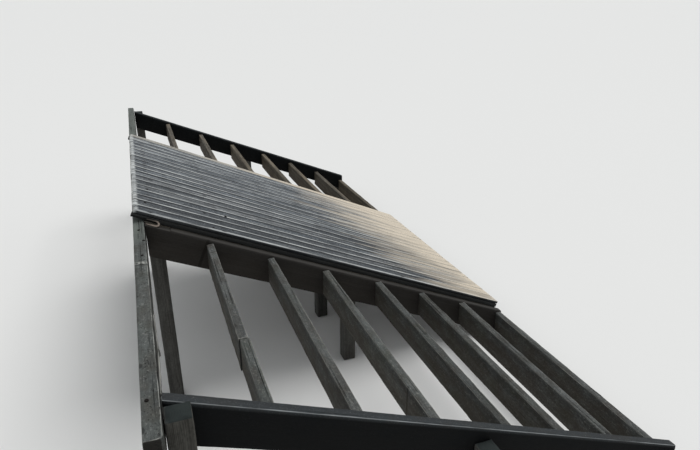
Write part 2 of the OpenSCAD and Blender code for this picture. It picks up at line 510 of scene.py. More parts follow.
@dataclass(frozen=True)
class WoodFinish:
    """A finish of old softwood, from grey and rubbed to dark, soiled or dusty.

    Attributes:
        slot: The name of the finish's material.
        pale: Colour of the ridges of the grain.
        dark: Colour of the hollows of the grain.
        worn: Colour of the arrises that feet have rubbed, which also carries their painted highlight.
        wear: How bright those arrises are, from 0 to 1, as wear and painted highlight.
        wear_width: Width of the band of wear and painted highlight along an arris.
        grain: How strongly the grain shows, from 0 to 1 and past it.
        streaks: How strongly light streaks run along the grain.
        mottle: How strongly the tone changes from place to place.
        flecks: How strongly the wood is flecked, light and dark, a thumb's width apart.
        pits: How many small dark pits there are, from 0 to 1 and past it.
        vary: How far one timber is lighter or darker than the mean, as a share.
        knots: Share of the possible knots that show.
        checks: How many hairline checks there are, from 0 to 1.
        algae: How much green film there is, from 0 to 1.
        sides: How light the timber's shaded sides and hollows are.
        brown: How much browner the timber is low down.
        ends: Colour of the end grain, if it isn't that of the rest.
        dust: Colour of the dust on the faces that look up.
        dust_share: How much of such a face the dust covers, from 0 to 1.
        dust_more: How much more it covers down the timber.
        dust_from: Distance along the timber where the dust starts to thicken.
        dust_full: Distance along the timber where the dust is thickest.
        dust_tone: How much more it covers a light timber than a dark one.
        nails: Rows of nails that stain the wood, if it has them.
        gap_band: How dark the uneven band is along the far side of each nailed board, beside the gap, from 0
            to 1.
        scar: Distance along the timber to a chafed band across it, or None.
        browned: Colour of the wood that is brown low down.
        checked: Colour of the depths of the checks.
        pitted: Colour of the depths of the pits.
        film: Colour of the green film.
        stained: Colour of the stains that nails have left.
    """

    slot: str
    pale: Colour
    dark: Colour
    worn: Colour
    wear: float = 0.6
    wear_width: float = 0.012
    grain: float = 1.0
    streaks: float = 0.3
    mottle: float = 0.5
    flecks: float = 0.3
    pits: float = 0.0
    vary: float = 0.16
    knots: float = 0.25
    checks: float = 0.5
    algae: float = 0.0
    # sides: How light the timber's sides and hollows stay under their painted shade.
    sides: float = 0.4
    brown: float = 0.3
    ends: Colour | None = None
    dust: Colour = (0.42, 0.34, 0.25)
    dust_share: float = 0.0
    dust_more: float = 0.0
    dust_from: float = 0.0
    dust_full: float = 1.0
    dust_tone: float = 0.0
    nails: NailRows | None = None
    gap_band: float = 0.0
    scar: float | None = None
    browned: Colour = (0.076, 0.058, 0.040)
    checked: Colour = (0.012, 0.011, 0.010)
    pitted: Colour = (0.014, 0.014, 0.013)
    film: Colour = (0.052, 0.066, 0.036)
    stained: Colour = (0.020, 0.021, 0.024)

    def material(self) -> bpy.types.Material:
        """Builds the finish, from the bare wood up to the dust that lies on it.

        Returns:
            The material.
        """
        wood = Wood(self.slot)
        checks = self._hairlines(wood)
        knots, bark = self._knots(wood)
        colour = self._toned(wood)
        colour = wood.mix(wood.times(bark, 0.75), colour, shaded(self.dark, 0.30))
        colour = wood.mix(wood.times(knots, 0.70), colour, shaded(self.dark, 0.62))
        colour = wood.mix(self._low_down(wood), colour, self.browned)
        # Painted shade: sides below the top face and hollows darken towards a near-black of the wood's dark
        # colour.
        colour = wood.mix(wood.times(wood.painted_shade, 1.0 - self.sides), colour, shaded(self.dark, 0.15))
        colour = wood.mix(wood.butt, colour, self._end_grain(wood))
        if self.gap_band > 0.0:
            colour = wood.mix(self._gap_banded(wood), colour, shaded(self.dark, 0.30))
        colour = self._rubbed_and_highlit(wood, colour)
        if self.scar is not None:
            colour = wood.mix(wood.lit, colour, self._scarred(wood, colour))
        colour = wood.mix(wood.times(checks, 0.85), colour, self.checked)

        height = wood.times_plus(wood.rings, 0.12, wood.late)
        height = wood.times_plus(checks, -0.9, height)
        height = wood.times_plus(bark, -0.3, height)
        height = wood.times_plus(wood.flecks, 1.2 * self.flecks, height)
        if self.pits > 0.0:
            pits = self._pits(wood)
            colour = wood.mix(pits, colour, self.pitted)
            height = wood.times_plus(pits, -0.9, height)
        if self.algae > 0.0:
            damp = wood.between(wood.own_noise(6.0, detail=7.0), 0.50, 0.66)
            colour = wood.mix(wood.times(damp, self.algae), colour, self.film)
        if self.nails:
            colour = wood.mix(self._stains(wood), colour, self.stained)
        if self.dust_share > 0.0:
            dust = self._dust(wood)
            grains = wood.between(wood.grit, 0.36, 0.64)
            dusty = wood.mix(grains, shaded(self.dust, 0.72), shaded(self.dust, 1.12))
            colour = wood.mix(dust, colour, dusty)
            height = wood.times_plus(wood.times(dust, grains), 0.25, height)
        rough = wood.times_plus(wood.fibres, 0.25, 0.70)
        # Painted shade on the sheen too: sides and hollows under painted shade throw back less light.
        gloss = wood.times_plus(wood.painted_shade, -0.18, 0.28)
        return wood.finish(colour, rough, height, 0.0024, gloss)

    def _toned(self, wood: Wood) -> Socket:
        """Lays the tones of the bare wood over each other, from the grain to the finest specks.

        Args:
            wood: The tree to add to.

        Returns:
            The colour of the bare wood.
        """
        grained = wood.times_plus(wood.between(wood.late, 0.39, 0.57), self.grain, 0.5 - 0.5 * self.grain)
        colour = wood.mix(grained, self.dark, self.pale)
        for pattern, low, high, share, above in (
            (wood.broad, 0.50, 0.66, self.streaks, self.worn),
            (wood.broad, 0.50, 0.36, 1.3 * self.streaks, shaded(self.dark, 0.45)),
            (wood.blots, 0.46, 0.66, 0.62 * self.mottle, shaded(self.dark, 0.62)),
            (wood.blots, 0.46, 0.30, 0.40 * self.mottle, shaded(self.pale, 1.25)),
            (wood.flecks, 0.50, 0.62, 0.80 * self.flecks, shaded(self.dark, 0.40)),
            (wood.flecks, 0.44, 0.34, 0.60 * self.flecks, self.worn),
            (wood.grit, 0.60, 0.70, 0.50, shaded(self.dark, 0.35)),
            (wood.grit, 0.38, 0.30, 0.35, self.worn),
        ):
            colour = wood.mix(wood.times(wood.between(pattern, low, high), share), colour, above)
        return self._varied(wood, colour)

    def _varied(self, wood: Wood, colour: Socket) -> Socket:
        """Makes one timber a little lighter, darker or warmer than the next.

        Args:
            wood: The tree to add to.
            colour: The colour that all have in common.

        Returns:
            The timber's own colour.
        """
        low, high = 1.0 - self.vary, 1.0 + self.vary
        light = wood.add("MapRange", {"Value": wood.tone, "To Min": low, "To Max": high})
        warm = wood.times_plus(wood.sums("FRACT", wood.times(wood.tone, 7.3)), 0.5, 0.75)
        turned = wood.add("HueSaturation", {"Color": colour, "Value": light.outputs[0], "Saturation": warm})
        return turned.outputs[0]

    def _hairlines(self, wood: Wood) -> Socket:
        """Hairline checks along the grain: where drawn-out noise crosses its middle value.

        Args:
            wood: The tree to add to.

        Returns:
            The checks.
        """
        lines = wood.own_noise(44.0, stretch=42.0, detail=2.0)
        off = wood.sums("ABSOLUTE", wood.sums("SUBTRACT", lines, 0.5))
        where = wood.own_noise(5.0, stretch=5.0, detail=2.0)
        return wood.times(
            wood.between(off, 0.014, 0.002), wood.between(where, 0.62 - 0.22 * self.checks, 0.66)
        )

    def _knots(self, wood: Wood) -> tuple[Socket, Socket]:
        """Scattered knots and the dark bark round each.

        Args:
            wood: The tree to add to.

        Returns:
            The knots and their bark.
        """
        per_metre = (1.9, 6.0, 0.0)
        unstretch = (0.6 / per_metre[0], 1.0 / per_metre[1], 0.0)
        away = wood.add("CombineXYZ", {0: wood.times(wood.tone, 57.0), 1: wood.times(wood.tone, 11.0)})
        spots = wood.vectors("MULTIPLY", wood.vectors("ADD", wood.place, away.outputs[0]), per_metre)
        cells = wood.add("TexVoronoi", {"Vector": spots, "Scale": 1.0}, voronoi_dimensions="2D", feature="F1")
        gap = wood.vectors("SUBTRACT", spots, cells.outputs["Position"])
        reach = wood.reach(wood.vectors("MULTIPLY", gap, unstretch))
        pick = wood.add("SeparateColor", {0: cells.outputs["Color"]})
        shown = wood.sums("LESS_THAN", pick.outputs[0], self.knots)
        size = wood.times_plus(pick.outputs[1], 0.007, 0.006)
        knot = wood.between(reach, size, wood.times(size, 0.85))
        bark = wood.between(reach, wood.times(size, 1.35), size)
        return wood.times(knot, shown), wood.times(bark, shown)

    def _low_down(self, wood: Wood) -> Socket:
        """How brown the wood is, more so lower down and unevenly.

        Args:
            wood: The tree to add to.

        Returns:
            How brown it is.
        """
        lower = wood.between(wood.depth, 0.012, 0.16)
        uneven = wood.between(wood.times_plus(lower, 0.35, wood.blots), 0.45, 0.85)
        return wood.times(uneven, self.brown)

    def _end_grain(self, wood: Wood) -> Socket:
        """Ringed, stained wood at a timber's ends.

        Args:
            wood: The tree to add to.

        Returns:
            Its colour.
        """
        base = self.ends or shaded(self.dark, 0.75)
        ringed = wood.mix(wood.rings, shaded(base, 0.72), shaded(base, 1.28))
        stained = wood.times(wood.between(wood.blots, 0.42, 0.62), 0.7)
        return wood.mix(stained, ringed, shaded(base, 0.55))

    def _gap_banded(self, wood: Wood) -> Socket:
        """A darker, uneven band along the far side of a board, beside the gap.

        Args:
            wood: The tree to add to.

        Returns:
            How much of it there is.
        """
        uneven = wood.times_plus(wood.own_noise(17.0, stretch=14.0), 0.060, wood.across)
        band = wood.between(uneven, self.nails.width - 0.014, self.nails.width + 0.008)
        return wood.times(band, self.gap_band)

    def _rubbed_and_highlit(self, wood: Wood, colour: Socket) -> Socket:
        """Lays wear and painted highlight along the lit arrises, in patches and on some timbers more than on
        others.

        Args:
            wood: The tree to add to.
            colour: The colour below.

        Returns:
            The colour with the band.
        """
        band = wood.between(wood.rim, self.wear_width, 0.60 * self.wear_width)
        patchy = wood.between(wood.own_noise(26.0, stretch=9.0), 0.30, 0.58)
        own = wood.times_plus(wood.sums("FRACT", wood.times(wood.tone, 5.3)), 0.30, 0.70)
        # The band is wear and painted highlight, left off where painted shade lies.
        rubbed = wood.times(band, patchy, self.wear, wood.lit, own)
        fibred = wood.mix(wood.between(wood.fibres, 0.40, 0.60), shaded(self.worn, 0.72), self.worn)
        return wood.mix(rubbed, colour, fibred)

    def _scarred(self, wood: Wood, colour: Socket) -> Socket:
        """Lays the chafed band, and the crack on its near side, across the timber.

        Args:
            wood: The tree to add to.
            colour: The colour of the wood round it.

        Returns:
            The colour with the band.
        """
        uneven = wood.times_plus(wood.own_noise(34.0), 0.030, wood.along)
        off = wood.sums("SUBTRACT", uneven, self.scar + 0.015)
        chafed = wood.between(wood.sums("ABSOLUTE", off), 0.022, 0.010)
        rough = wood.between(wood.own_noise(60.0), 0.40, 0.56)
        crack = wood.between(wood.sums("ABSOLUTE", wood.sums("ADD", off, 0.028)), 0.009, 0.003)
        colour = wood.mix(wood.times(chafed, rough, 0.75), colour, self.worn)
        return wood.mix(wood.times(crack, 0.80), colour, shaded(self.dark, 0.30))

    def _pits(self, wood: Wood) -> Socket:
        """Small dark pits in the wood.

        Args:
            wood: The tree to add to.

        Returns:
            The pits.
        """
        least = 0.78 - 0.12 * self.pits
        most = 0.84 - 0.12 * self.pits
        return wood.times(wood.between(wood.own_noise(105.0, stretch=1.5, detail=2.0), least, most), 0.9)

    def _stains(self, wood: Wood) -> Socket:
        """Blue-black stains that the nails have bled into the wood, drawn out along the grain.

        Args:
            wood: The tree to add to.

        Returns:
            The stains.
        """
        rows = self.nails
        turn = wood.sums("DIVIDE", wood.sums("SUBTRACT", wood.along, rows.first), rows.pitch)
        turn = wood.sums("SUBTRACT", wood.sums("FRACT", wood.sums("ADD", turn, 0.5)), 0.5)
        half = wood.sums("ABSOLUTE", wood.sums("SUBTRACT", wood.across, rows.width / 2))
        gap = wood.add(
            "CombineXYZ", {0: wood.times(turn, 0.5 * rows.pitch), 1: wood.sums("SUBTRACT", half, rows.inset)}
        )
        reach = wood.times_plus(wood.own_noise(70.0, stretch=3.0), -0.012, wood.reach(gap.outputs[0]))
        strong = wood.between(wood.own_noise(3.1, detail=1.0), 0.48, 0.60)
        return wood.times(wood.between(reach, 0.010, 0.002), wood.times_plus(strong, 0.80, 0.15))

    def _dust(self, wood: Wood) -> Socket:
        """Where dust lies: on faces that look up, in streaky patches, thicker down the timber; on the deck it
        also paints in light.

        Args:
            wood: The tree to add to.

        Returns:
            How much of it there is.
        """
        normal = wood.add("NewGeometry").outputs["Normal"]
        up = wood.between(wood.parts(normal)[2], 0.45, 0.85)
        # On the deck this thickening also stands in for sunlight on its lower part, as painted light.
        thick = wood.between(wood.along, self.dust_from, self.dust_full)
        low = 0.80 - 0.42 * self.dust_share + 0.5 * self.dust_tone
        patch = wood.times_plus(wood.tone, self.dust_tone, wood.own_noise(11.0, stretch=9.0, detail=6.0))
        cover = wood.between(wood.times_plus(thick, self.dust_more, patch), low, low + 0.42)
        return wood.times(up, cover, 0.88)


@dataclass(frozen=True)
class TornFinish:
    """The finish of freshly torn wood where a timber has rotted away, pale at the bow and dark at its tips.

    Attributes:
        pale: Colour of the torn fibres.
        dark: Colour between them.
        soiled: Colour that the lip darkens to towards its tips.
    """

    pale: Colour = (0.290, 0.240, 0.202)
    dark: Colour = (0.112, 0.090, 0.074)
    soiled: Colour = (0.046, 0.040, 0.035)

    def material(self) -> bpy.types.Material:
        """Builds the finish.

        Returns:
            The material.
        """
        tree = Tree("torn_wood")
        place = tree.attribute("bench")
        along, across, _ = tree.parts(place)
        fibres = tree.noise(place, 0.0, 190.0, stretch=6.0, detail=4.0)
        colour = tree.mix(tree.between(fibres, 0.38, 0.62), self.dark, self.pale)
        tips = tree.between(tree.times_plus(across, -1.3, along), 0.010, -0.060)
        return tree.finish(tree.mix(tips, colour, self.soiled), 0.85, fibres, 0.0030)


@dataclass(frozen=True)
class IronFinish:
    """The finish of old nail heads: dark iron with rust.

    Attributes:
        iron: Colour of the bare iron, made near black partly as painted shade of the holes round the sunken
            heads.
        rust: Colour of the rust.
    """

    # Near black: iron, and painted shade of the holes round the heads.
    iron: Colour = (0.009, 0.008, 0.008)
    rust: Colour = (0.015, 0.011, 0.009)

    def material(self) -> bpy.types.Material:
        """Builds the finish.

        Returns:
            The material.
        """
        tree = Tree("nail_iron")
        place = tree.add("TexCoord").outputs["Object"]
        flaky = tree.between(tree.noise(place, 0.0, 380.0, detail=4.0), 0.42, 0.60)
        rough = tree.times_plus(flaky, 0.35, 0.50)
        return tree.finish(tree.mix(flaky, self.iron, self.rust), rough, flaky, 0.0006, gloss=0.10)


DECK_NAILS = NailRows(first=0.0595, pitch=0.6096, count=7, width=0.145, inset=0.041)

# Beam: its dark end grain is darkened further as painted shade; its light arris band is wear and painted
# highlight.
BEAM = WoodFinish(
    "weathered_beam", pale=(0.100, 0.108, 0.104), dark=(0.050, 0.054, 0.052), worn=(0.430, 0.430, 0.400),
    wear=1.0, wear_width=0.009, grain=0.70, streaks=0.05, mottle=0.65, flecks=0.30, pits=1.5, knots=0.5,
    checks=0.45, algae=0.12, brown=0.40, sides=0.70, ends=(0.022, 0.020, 0.018),
    dust_share=0.05, dust=(0.158, 0.178, 0.160), dust_more=0.50, dust_from=1.0, dust_full=2.3, scar=1.7135,
)
NEAR_RISER = WoodFinish(
    "weathered_riser", pale=(0.104, 0.110, 0.106), dark=(0.044, 0.047, 0.046), worn=(0.370, 0.365, 0.335),
    wear=1.0, wear_width=0.009, grain=0.75, streaks=0.08, mottle=0.95, flecks=0.42, pits=1.0, knots=0.4,
    checks=0.55, algae=0.12, brown=0.45, sides=0.75, dust_share=0.20, dust=(0.20, 0.175, 0.135),
)
FAR_RISER = WoodFinish(
    "dusty_riser", pale=(0.125, 0.112, 0.090), dark=(0.060, 0.053, 0.042), worn=(0.240, 0.210, 0.165),
    wear=0.55, wear_width=0.010, mottle=0.6, flecks=0.4, checks=0.5, brown=0.5, sides=0.75,
    dust_share=0.80, dust=(0.33, 0.265, 0.19),
)
# Edge boards: their sides take almost full painted shade; the thin light line on the arris is wear and
# painted highlight.
EDGE = WoodFinish(
    "edge_timber", pale=(0.024, 0.029, 0.032), dark=(0.016, 0.019, 0.021), worn=(0.330, 0.350, 0.355),
    wear=1.0, wear_width=0.0065, grain=0.6, streaks=0.0, mottle=0.20, flecks=0.05, knots=0.1, checks=0.12,
    brown=0.20, sides=0.10, ends=(0.030, 0.032, 0.032),
)
# Closing boards: their very dark face is partly their own colour and partly painted shade.
CLOSING = WoodFinish(
    "closing_timber", pale=(0.052, 0.048, 0.043), dark=(0.034, 0.031, 0.028), worn=(0.070, 0.064, 0.058),
    wear=0.25, wear_width=0.007, grain=0.7, streaks=0.0, mottle=0.4, flecks=0.20, checks=0.2, brown=0.10,
    sides=0.70, dust_share=0.90, dust=(0.063, 0.060, 0.053),
)
# Battens: their very dark colour is partly their own and partly painted shade.
BATTEN = WoodFinish(
    "batten_timber", pale=(0.040, 0.042, 0.041), dark=(0.022, 0.023, 0.023), worn=(0.070, 0.070, 0.064),
    wear=0.3, grain=0.7, streaks=0.0, mottle=0.4, flecks=0.15, checks=0.2, brown=0.1, sides=0.9,
)
FRAME = WoodFinish(
    "frame_timber", pale=(0.135, 0.118, 0.092), dark=(0.070, 0.060, 0.046), worn=(0.175, 0.155, 0.125),
    wear=0.3, streaks=0.20, checks=0.4, brown=0.3, sides=0.9,
)
# Deck boards: their sides take almost full painted shade, which darkens the gaps; the light arris band is
# wear and painted highlight.
# Their dust, thicker down the slope and on lighter boards, is dust and sand and also painted sunlight on the
# lower and far deck.
DECK = WoodFinish(
    "deck_timber", pale=(0.130, 0.146, 0.163), dark=(0.044, 0.052, 0.062), worn=(0.670, 0.690, 0.680),
    wear=1.0, wear_width=0.019, grain=1.2, streaks=0.26, mottle=0.9, flecks=0.45, pits=1.1, vary=0.55,
    knots=0.30, checks=0.8, brown=0.0, sides=0.12, ends=(0.230, 0.225, 0.200),
    dust_share=0.22, dust=(0.74, 0.645, 0.515), dust_more=0.85, dust_from=1.6, dust_full=4.3, dust_tone=0.30,
    nails=DECK_NAILS, gap_band=1.0,
)
STRIP = replace(
    DECK, slot="deck_strip", pale=(0.235, 0.215, 0.180), dark=(0.115, 0.105, 0.088), dust_share=0.50,
    dust_from=0.4, pits=0.0, nails=None, gap_band=0.0,
)
POST = WoodFinish(
    "post_timber", pale=(0.092, 0.090, 0.082), dark=(0.046, 0.045, 0.041), worn=(0.150, 0.146, 0.132),
    wear=0.4, streaks=0.10, mottle=0.6, checks=0.7, brown=0.05, sides=0.9, ends=(0.027, 0.033, 0.032),
)


@dataclass(frozen=True)
class Shape:
    """The sawn shape of a timber on the bench.

    Attributes:
        length: Length along the grain, at the top face.
        width: Width across the top face.
        depth: Depth below the top face.
        arris: Width of the eased edges.
        step: Distance between two rows of points along it.
        cell: Distance between two rows of points across it.
        cuts: Slanting cuts across it, each by its place along the top face and the angle off square.
        round_end: Radius of the worn top edge at its start.
        corners: Radii of the two upright edges at its start, at y = 0 and at its full width.
        lap: Length of a half lap past its length, or 0.
        lap_low: Whether the lap is the lower half.
        slot: Where a slot is cut into it, as its lowest and highest corner; its far end is round.
        level: Drop from its top's start to a level cut across its foot, or 0; it needs the slanting cuts.
        rub: How many times narrower the band of wear and painted highlight is at y = 0, at full width and at
            the ends.
        lit: How far down its sides its top's finish reaches before the painted shade starts.
        fade: How far below that the painted shade takes to reach full strength.
    """

    length: float
    width: float
    depth: float
    arris: float = 0.005
    step: float = 0.022
    cell: float = 0.013
    cuts: tuple[tuple[float, float], ...] = ()
    round_end: float = 0.0
    corners: tuple[float, float] = (0.0, 0.0)
    lap: float = 0.0
    lap_low: bool = True
    slot: tuple[Corner, Corner] | None = None
    level: float = 0.0
    rub: tuple[float, float, float] = (1.0, 1.0, 1.0)
    lit: float = 0.006
    fade: float = 0.004

    @property
    def worked(self) -> float:
        """Length at the start that is rounded, and so has short faces of its own."""
        return max(self.round_end, *self.corners)

    def shade(self, point: Vector) -> float:
        """The painted shade of a point down the timber's sides, from 0 at its top face and rounded end to 1.
        """
        over = self.round_end if point.x < self.round_end + 0.010 else 0.0
        return min(max((-point.z - over - self.lit) / self.fade, 0.0), 1.0)

    def saw(self, name: str) -> Piece:
        """Models the timber with all its cuts and eased edges, divided into small faces.

        Args:
            name: The name of the piece.

        Returns:
            The piece, on the bench.
        """
        over = max([0.0] + [self.depth * math.tan(angle) for _, angle in self.cuts])
        piece = block(name, Vector((0.0, 0.0, -self.depth)), Vector((self.length + over, self.width, 0.0)))
        with editing(piece):
            self._cut()
            self._half(piece)
            self._round(piece)
        self._ease(piece)
        self._slot(piece)
        with editing(piece):
            self._divide(piece)
        return piece

    def _cut(self) -> None:
        """Cuts the ends on the slant, and the foot level."""
        for along, angle in self.cuts:
            side = 1.0 if along > self.length / 2 else -1.0
            cut_off((along, 0.0, 0.0), (side * math.cos(angle), 0.0, side * math.sin(angle)))
        if self.level:
            angle = self.cuts[-1][1]
            down = (math.sin(angle), 0.0, -math.cos(angle))
            cut_off((self.level * down[0], 0.0, self.level * down[2]), down)

    def _half(self, piece: Piece) -> None:
        """Draws the half lap out of the far end.

        Args:
            piece: The piece that is in edit mode.
        """
        if not self.lap:
            return
        line = -0.5 * self.depth
        slice_across(2, line)
        sign = 1.0 if self.lap_low else -1.0
        pick_faces(piece, lambda middle, normal: normal.x > 0.7 and sign * (middle.z - line) < 0.0)
        bpy.ops.mesh.extrude_region_move(TRANSFORM_OT_translate={"value": (self.lap, 0.0, 0.0)})

    def _round(self, piece: Piece) -> None:
        """Rounds the worn corners and the worn top edge at the start.

        Args:
            piece: The piece that is in edit mode.
        """
        for radius, y in zip(self.corners, (0.0, self.width)):
            if radius:
                pick_edges(piece, lambda a, b: max(abs(a.x), abs(b.x), abs(a.y - y), abs(b.y - y)) < TINY)
                bpy.ops.mesh.bevel(offset=radius, segments=5, affect="EDGES")
        if self.round_end:
            pick_edges(piece, lambda a, b: max(abs(a.x), abs(b.x), abs(a.z), abs(b.z)) < TINY)
            bpy.ops.mesh.bevel(offset=self.round_end, segments=6, affect="EDGES")

    def _ease(self, piece: Piece) -> None:
        """Eases all sharp edges.

        Args:
            piece: The piece, on the bench.
        """
        alone(piece)
        modifier = piece.modifiers.new("ease", "BEVEL")
        modifier.width = self.arris
        modifier.segments = 2
        modifier.limit_method = "ANGLE"
        modifier.angle_limit = SHARP
        bpy.ops.object.modifier_apply(modifier=modifier.name)

    def _slot(self, piece: Piece) -> None:
        """Cuts the slot with its round far end.

        Args:
            piece: The piece, on the bench.
        """
        if not self.slot:
            return
        low, high = Vector(self.slot[0]), Vector(self.slot[1])
        cutter = block("slot_cutter", low, high)
        with editing(cutter):
            pick_edges(cutter, lambda a, b: min(a.x, b.x) > high.x - TINY and abs(a.z - b.z) < TINY)
            bpy.ops.mesh.bevel(offset=0.49 * (high.z - low.z), segments=6, affect="EDGES")
        alone(piece)
        modifier = piece.modifiers.new("slot", "BOOLEAN")
        modifier.operation = "DIFFERENCE"
        modifier.solver = "EXACT"
        modifier.object = cutter
        bpy.ops.object.modifier_apply(modifier=modifier.name)
        bpy.data.objects.remove(cutter)

    def _divide(self, piece: Piece) -> None:
        """Divides the timber into rows across it, down it and along it.

        Args:
            piece: The piece that is in edit mode.
        """
        if self.worked:
            slice_across(0, self.worked + self.arris + 0.001)
        if self.slot:
            slice_across(0, 0.6 * self.slot[1][0])
        for axis, size, sign in ((1, self.width, 1.0), (2, self.depth, -1.0)):
            count = max(1, round(size / (self.cell * axis)))
            for number in range(1, count):
                slice_across(axis, sign * size * number / count)
        lengths = [(self.length, 0.5 * self.length)] + ([(self.lap, 0.6 * self.lap)] if self.lap else [])
        for length, least in lengths:
            most = 2.0 * length
            if pick_edges(piece, lambda a, b: least < abs(a.x - b.x) < most and abs(a.z - b.z) < TINY):
                bpy.ops.mesh.subdivide(number_cuts=max(1, round(length / self.step) - 1))


@dataclass(frozen=True)
class Weather:
    """How far weather and feet have taken a timber down, always inwards.

    Attributes:
        hollow: Depth to which its faces are hollowed.
        furrow: Depth of the furrows along its grain.
        chipped: Depth to which its edges are chipped.
        splits: Number of open splits in its top face.
        split_half: Half the width of a split.
        split_length: Least and greatest length of a split.
        split_depth: Least and greatest depth of a split.
    """

    hollow: float = 0.0025
    furrow: float = 0.0016
    chipped: float = 0.006
    splits: int = 0
    split_half: float = 0.0014
    split_length: tuple[float, float] = (0.12, 0.55)
    split_depth: tuple[float, float] = (0.004, 0.009)

    def split(self, piece: Piece, shape: Shape, luck: random.Random) -> None:
        """Opens splits along the grain in the top face.

        Args:
            piece: The piece, on the bench.
            shape: Its sawn shape.
            luck: The draws that make its wear its own.
        """
        for _ in range(self.splits):
            across = luck.uniform(0.22, 0.78) * shape.width
            start = luck.uniform(0.02, 0.80) * shape.length
            end = min(start + luck.uniform(*self.split_length), shape.length - 0.03)
            deep = luck.uniform(*self.split_depth)
            with editing(piece):
                for offset in (-self.split_half, 0.0, self.split_half):
                    pick_faces(
                        piece,
                        lambda middle, normal: normal.z > 0.95
                        and middle.z > -0.002
                        and abs(middle.y - across) < 0.03
                        and start - 0.05 < middle.x < end + 0.05,
                    )
                    bpy.ops.mesh.bisect(plane_co=(0.0, across + offset, 0.0), plane_no=(0.0, 1.0, 0.0))
                for share in (0.0, 0.12, 0.3):
                    low = start + share * (end - start)
                    high = end - share * (end - start)
                    pick_points(
                        piece, lambda p: abs(p.y - across) < TINY and p.z > -0.012 and low < p.x < high
                    )
                    bpy.ops.transform.translate(value=(0.0, 0.0, -deep / 3))

    def wear_down(self, piece: Piece, luck: random.Random) -> None:
        """Hollows the faces, furrows them along the grain and chips the edges.

        Args:
            piece: The piece, whose group of points named edges says where the edges are.
            luck: The draws that make its wear its own.
        """
        for name, deep, spot, stretch, group in (
            ("hollow", self.hollow, 0.30, (2.5, 1.0, 1.0), ""),
            ("furrow", self.furrow, 0.012, (30.0, 1.0, 1.0), ""),
            ("chipped", self.chipped, 0.035, (3.0, 1.0, 1.0), "edges"),
        ):
            if not deep:
                continue
            texture = bpy.data.textures.new(name, type="CLOUDS")
            texture.noise_scale = spot
            texture.noise_depth = 2
            texture.contrast = 1.4
            guide = bpy.data.objects.new("grain_guide", None)
            bpy.context.scene.collection.objects.link(guide)
            guide.location = [luck.uniform(-40.0, 40.0) for _ in range(3)]
            guide.scale = stretch
            bpy.context.view_layer.update()
            alone(piece)
            modifier = piece.modifiers.new(name, "DISPLACE")
            modifier.texture = texture
            modifier.texture_coords = "OBJECT"
            modifier.texture_coords_object = guide
            modifier.strength = deep
            modifier.mid_level = 1.0
            modifier.vertex_group = group
            bpy.ops.object.modifier_apply(modifier=name)
            bpy.data.objects.remove(guide)
            bpy.data.textures.remove(texture)
        piece.vertex_groups.clear()
        bpy.ops.object.shade_smooth_by_angle(angle=SHARP)


class Bench:
    """Where each shape of timber is sawn once, copied, weathered and carried to its place."""

    def __init__(self) -> None:
        """Starts with no timber sawn."""
        self.sawn: dict[Shape, Piece] = {}

    def blank(self, name: str, shape: Shape) -> Piece:
        """A fresh copy of a sawn shape.

        Args:
            name: The name of the copy.
            shape: The shape.

        Returns:
            The copy, with its own mesh.
        """
        if shape not in self.sawn:
            self.sawn[shape] = shape.saw("pattern")
        piece = self.sawn[shape].copy()
        piece.data = self.sawn[shape].data.copy()
        piece.name = name
        bpy.context.scene.collection.objects.link(piece)
        return piece

    def timber(
        self,
        name: str,
        shape: Shape,
        weather: Weather,
        place: Matrix,
        seed: int,
        start: float = 0.0,
        shaping: Callable[[Piece], None] | None = None,
        hollow: Callable[[Vector], bool] | None = None,
        tone: float | None = None,
    ) -> Piece:
        """Makes one timber.

        Args:
            name: Its name.
            shape: Its sawn shape.
            weather: How worn it is.
            place: The place of the bench in the landing.
            seed: Number that makes its wear its own.
            start: Distance along its line at which it starts, from which its finish counts.
            shaping: What else is shaped on it before it is weathered.
            hollow: Says whether a point lies in a hollow that is painted in full shade.
            tone: How light it is, from 0 to 1, or None for a draw.

        Returns:
            The finished piece, without its material.
        """
        luck = random.Random(seed)
        piece = self.blank(name, shape)
        if shaping:
            shaping(piece)
        weather.split(piece, shape, luck)
        drawn = luck.random()
        marks = self._measure(piece, shape, drawn if tone is None else tone)
        # Painted shade: each point's share of the darkening down the sides, and full shade in a hollow.
        painted_shade = [shape.shade(point.co) for point in piece.data.vertices]
        if hollow:
            painted_shade = [1.0 if hollow(point.co) else shade for point, shade in zip(piece.data.vertices, painted_shade)]
        weather.wear_down(piece, luck)
        places = [c for point in piece.data.vertices for c in (point.co.x + start, point.co.y, point.co.z)]
        note(piece, "bench", places)
        note(piece, "marks", marks)
        note(piece, "painted_shade", painted_shade)
        settle(piece, place)
        return piece

    def _measure(self, piece: Piece, shape: Shape, tone: float) -> list[float]:
        """Measures each point's distance from the nearest edge, and groups the points near one.

        Args:
            piece: The piece, on the bench.
            shape: Its sawn shape.
            tone: The timber's own tone, from 0 to 1.

        Returns:
            For each point in turn, its distance from an edge, whether it is on an end, and the tone.
        """
        mesh = piece.data
        ends = {index for face in mesh.polygons if abs(face.normal.x) > 0.85 for index in face.vertices}
        whole = max(point.co.x for point in mesh.vertices)
        group = piece.vertex_groups.new(name="edges")
        low_side, high_side, ends_rub = shape.rub
        marks = []
        for point in mesh.vertices:
            x, y, z = point.co
            sideways = min(y * low_side, (shape.width - y) * high_side)
            gaps = sorted((ends_rub * min(x, whole - x), sideways, min(-z, shape.depth + z)))
            share = 1.2 - gaps[1] / 0.010
            if share > 0.0:
                group.add([point.index], min(share, 1.0), "REPLACE")
            marks.extend((max(gaps[1], 0.0), float(point.index in ends), tone))
        return marks

    def clear(self) -> None:
        """Takes the sawn patterns away."""
        for pattern in self.sawn.values():
            bpy.data.objects.remove(pattern)
        self.sawn.clear()


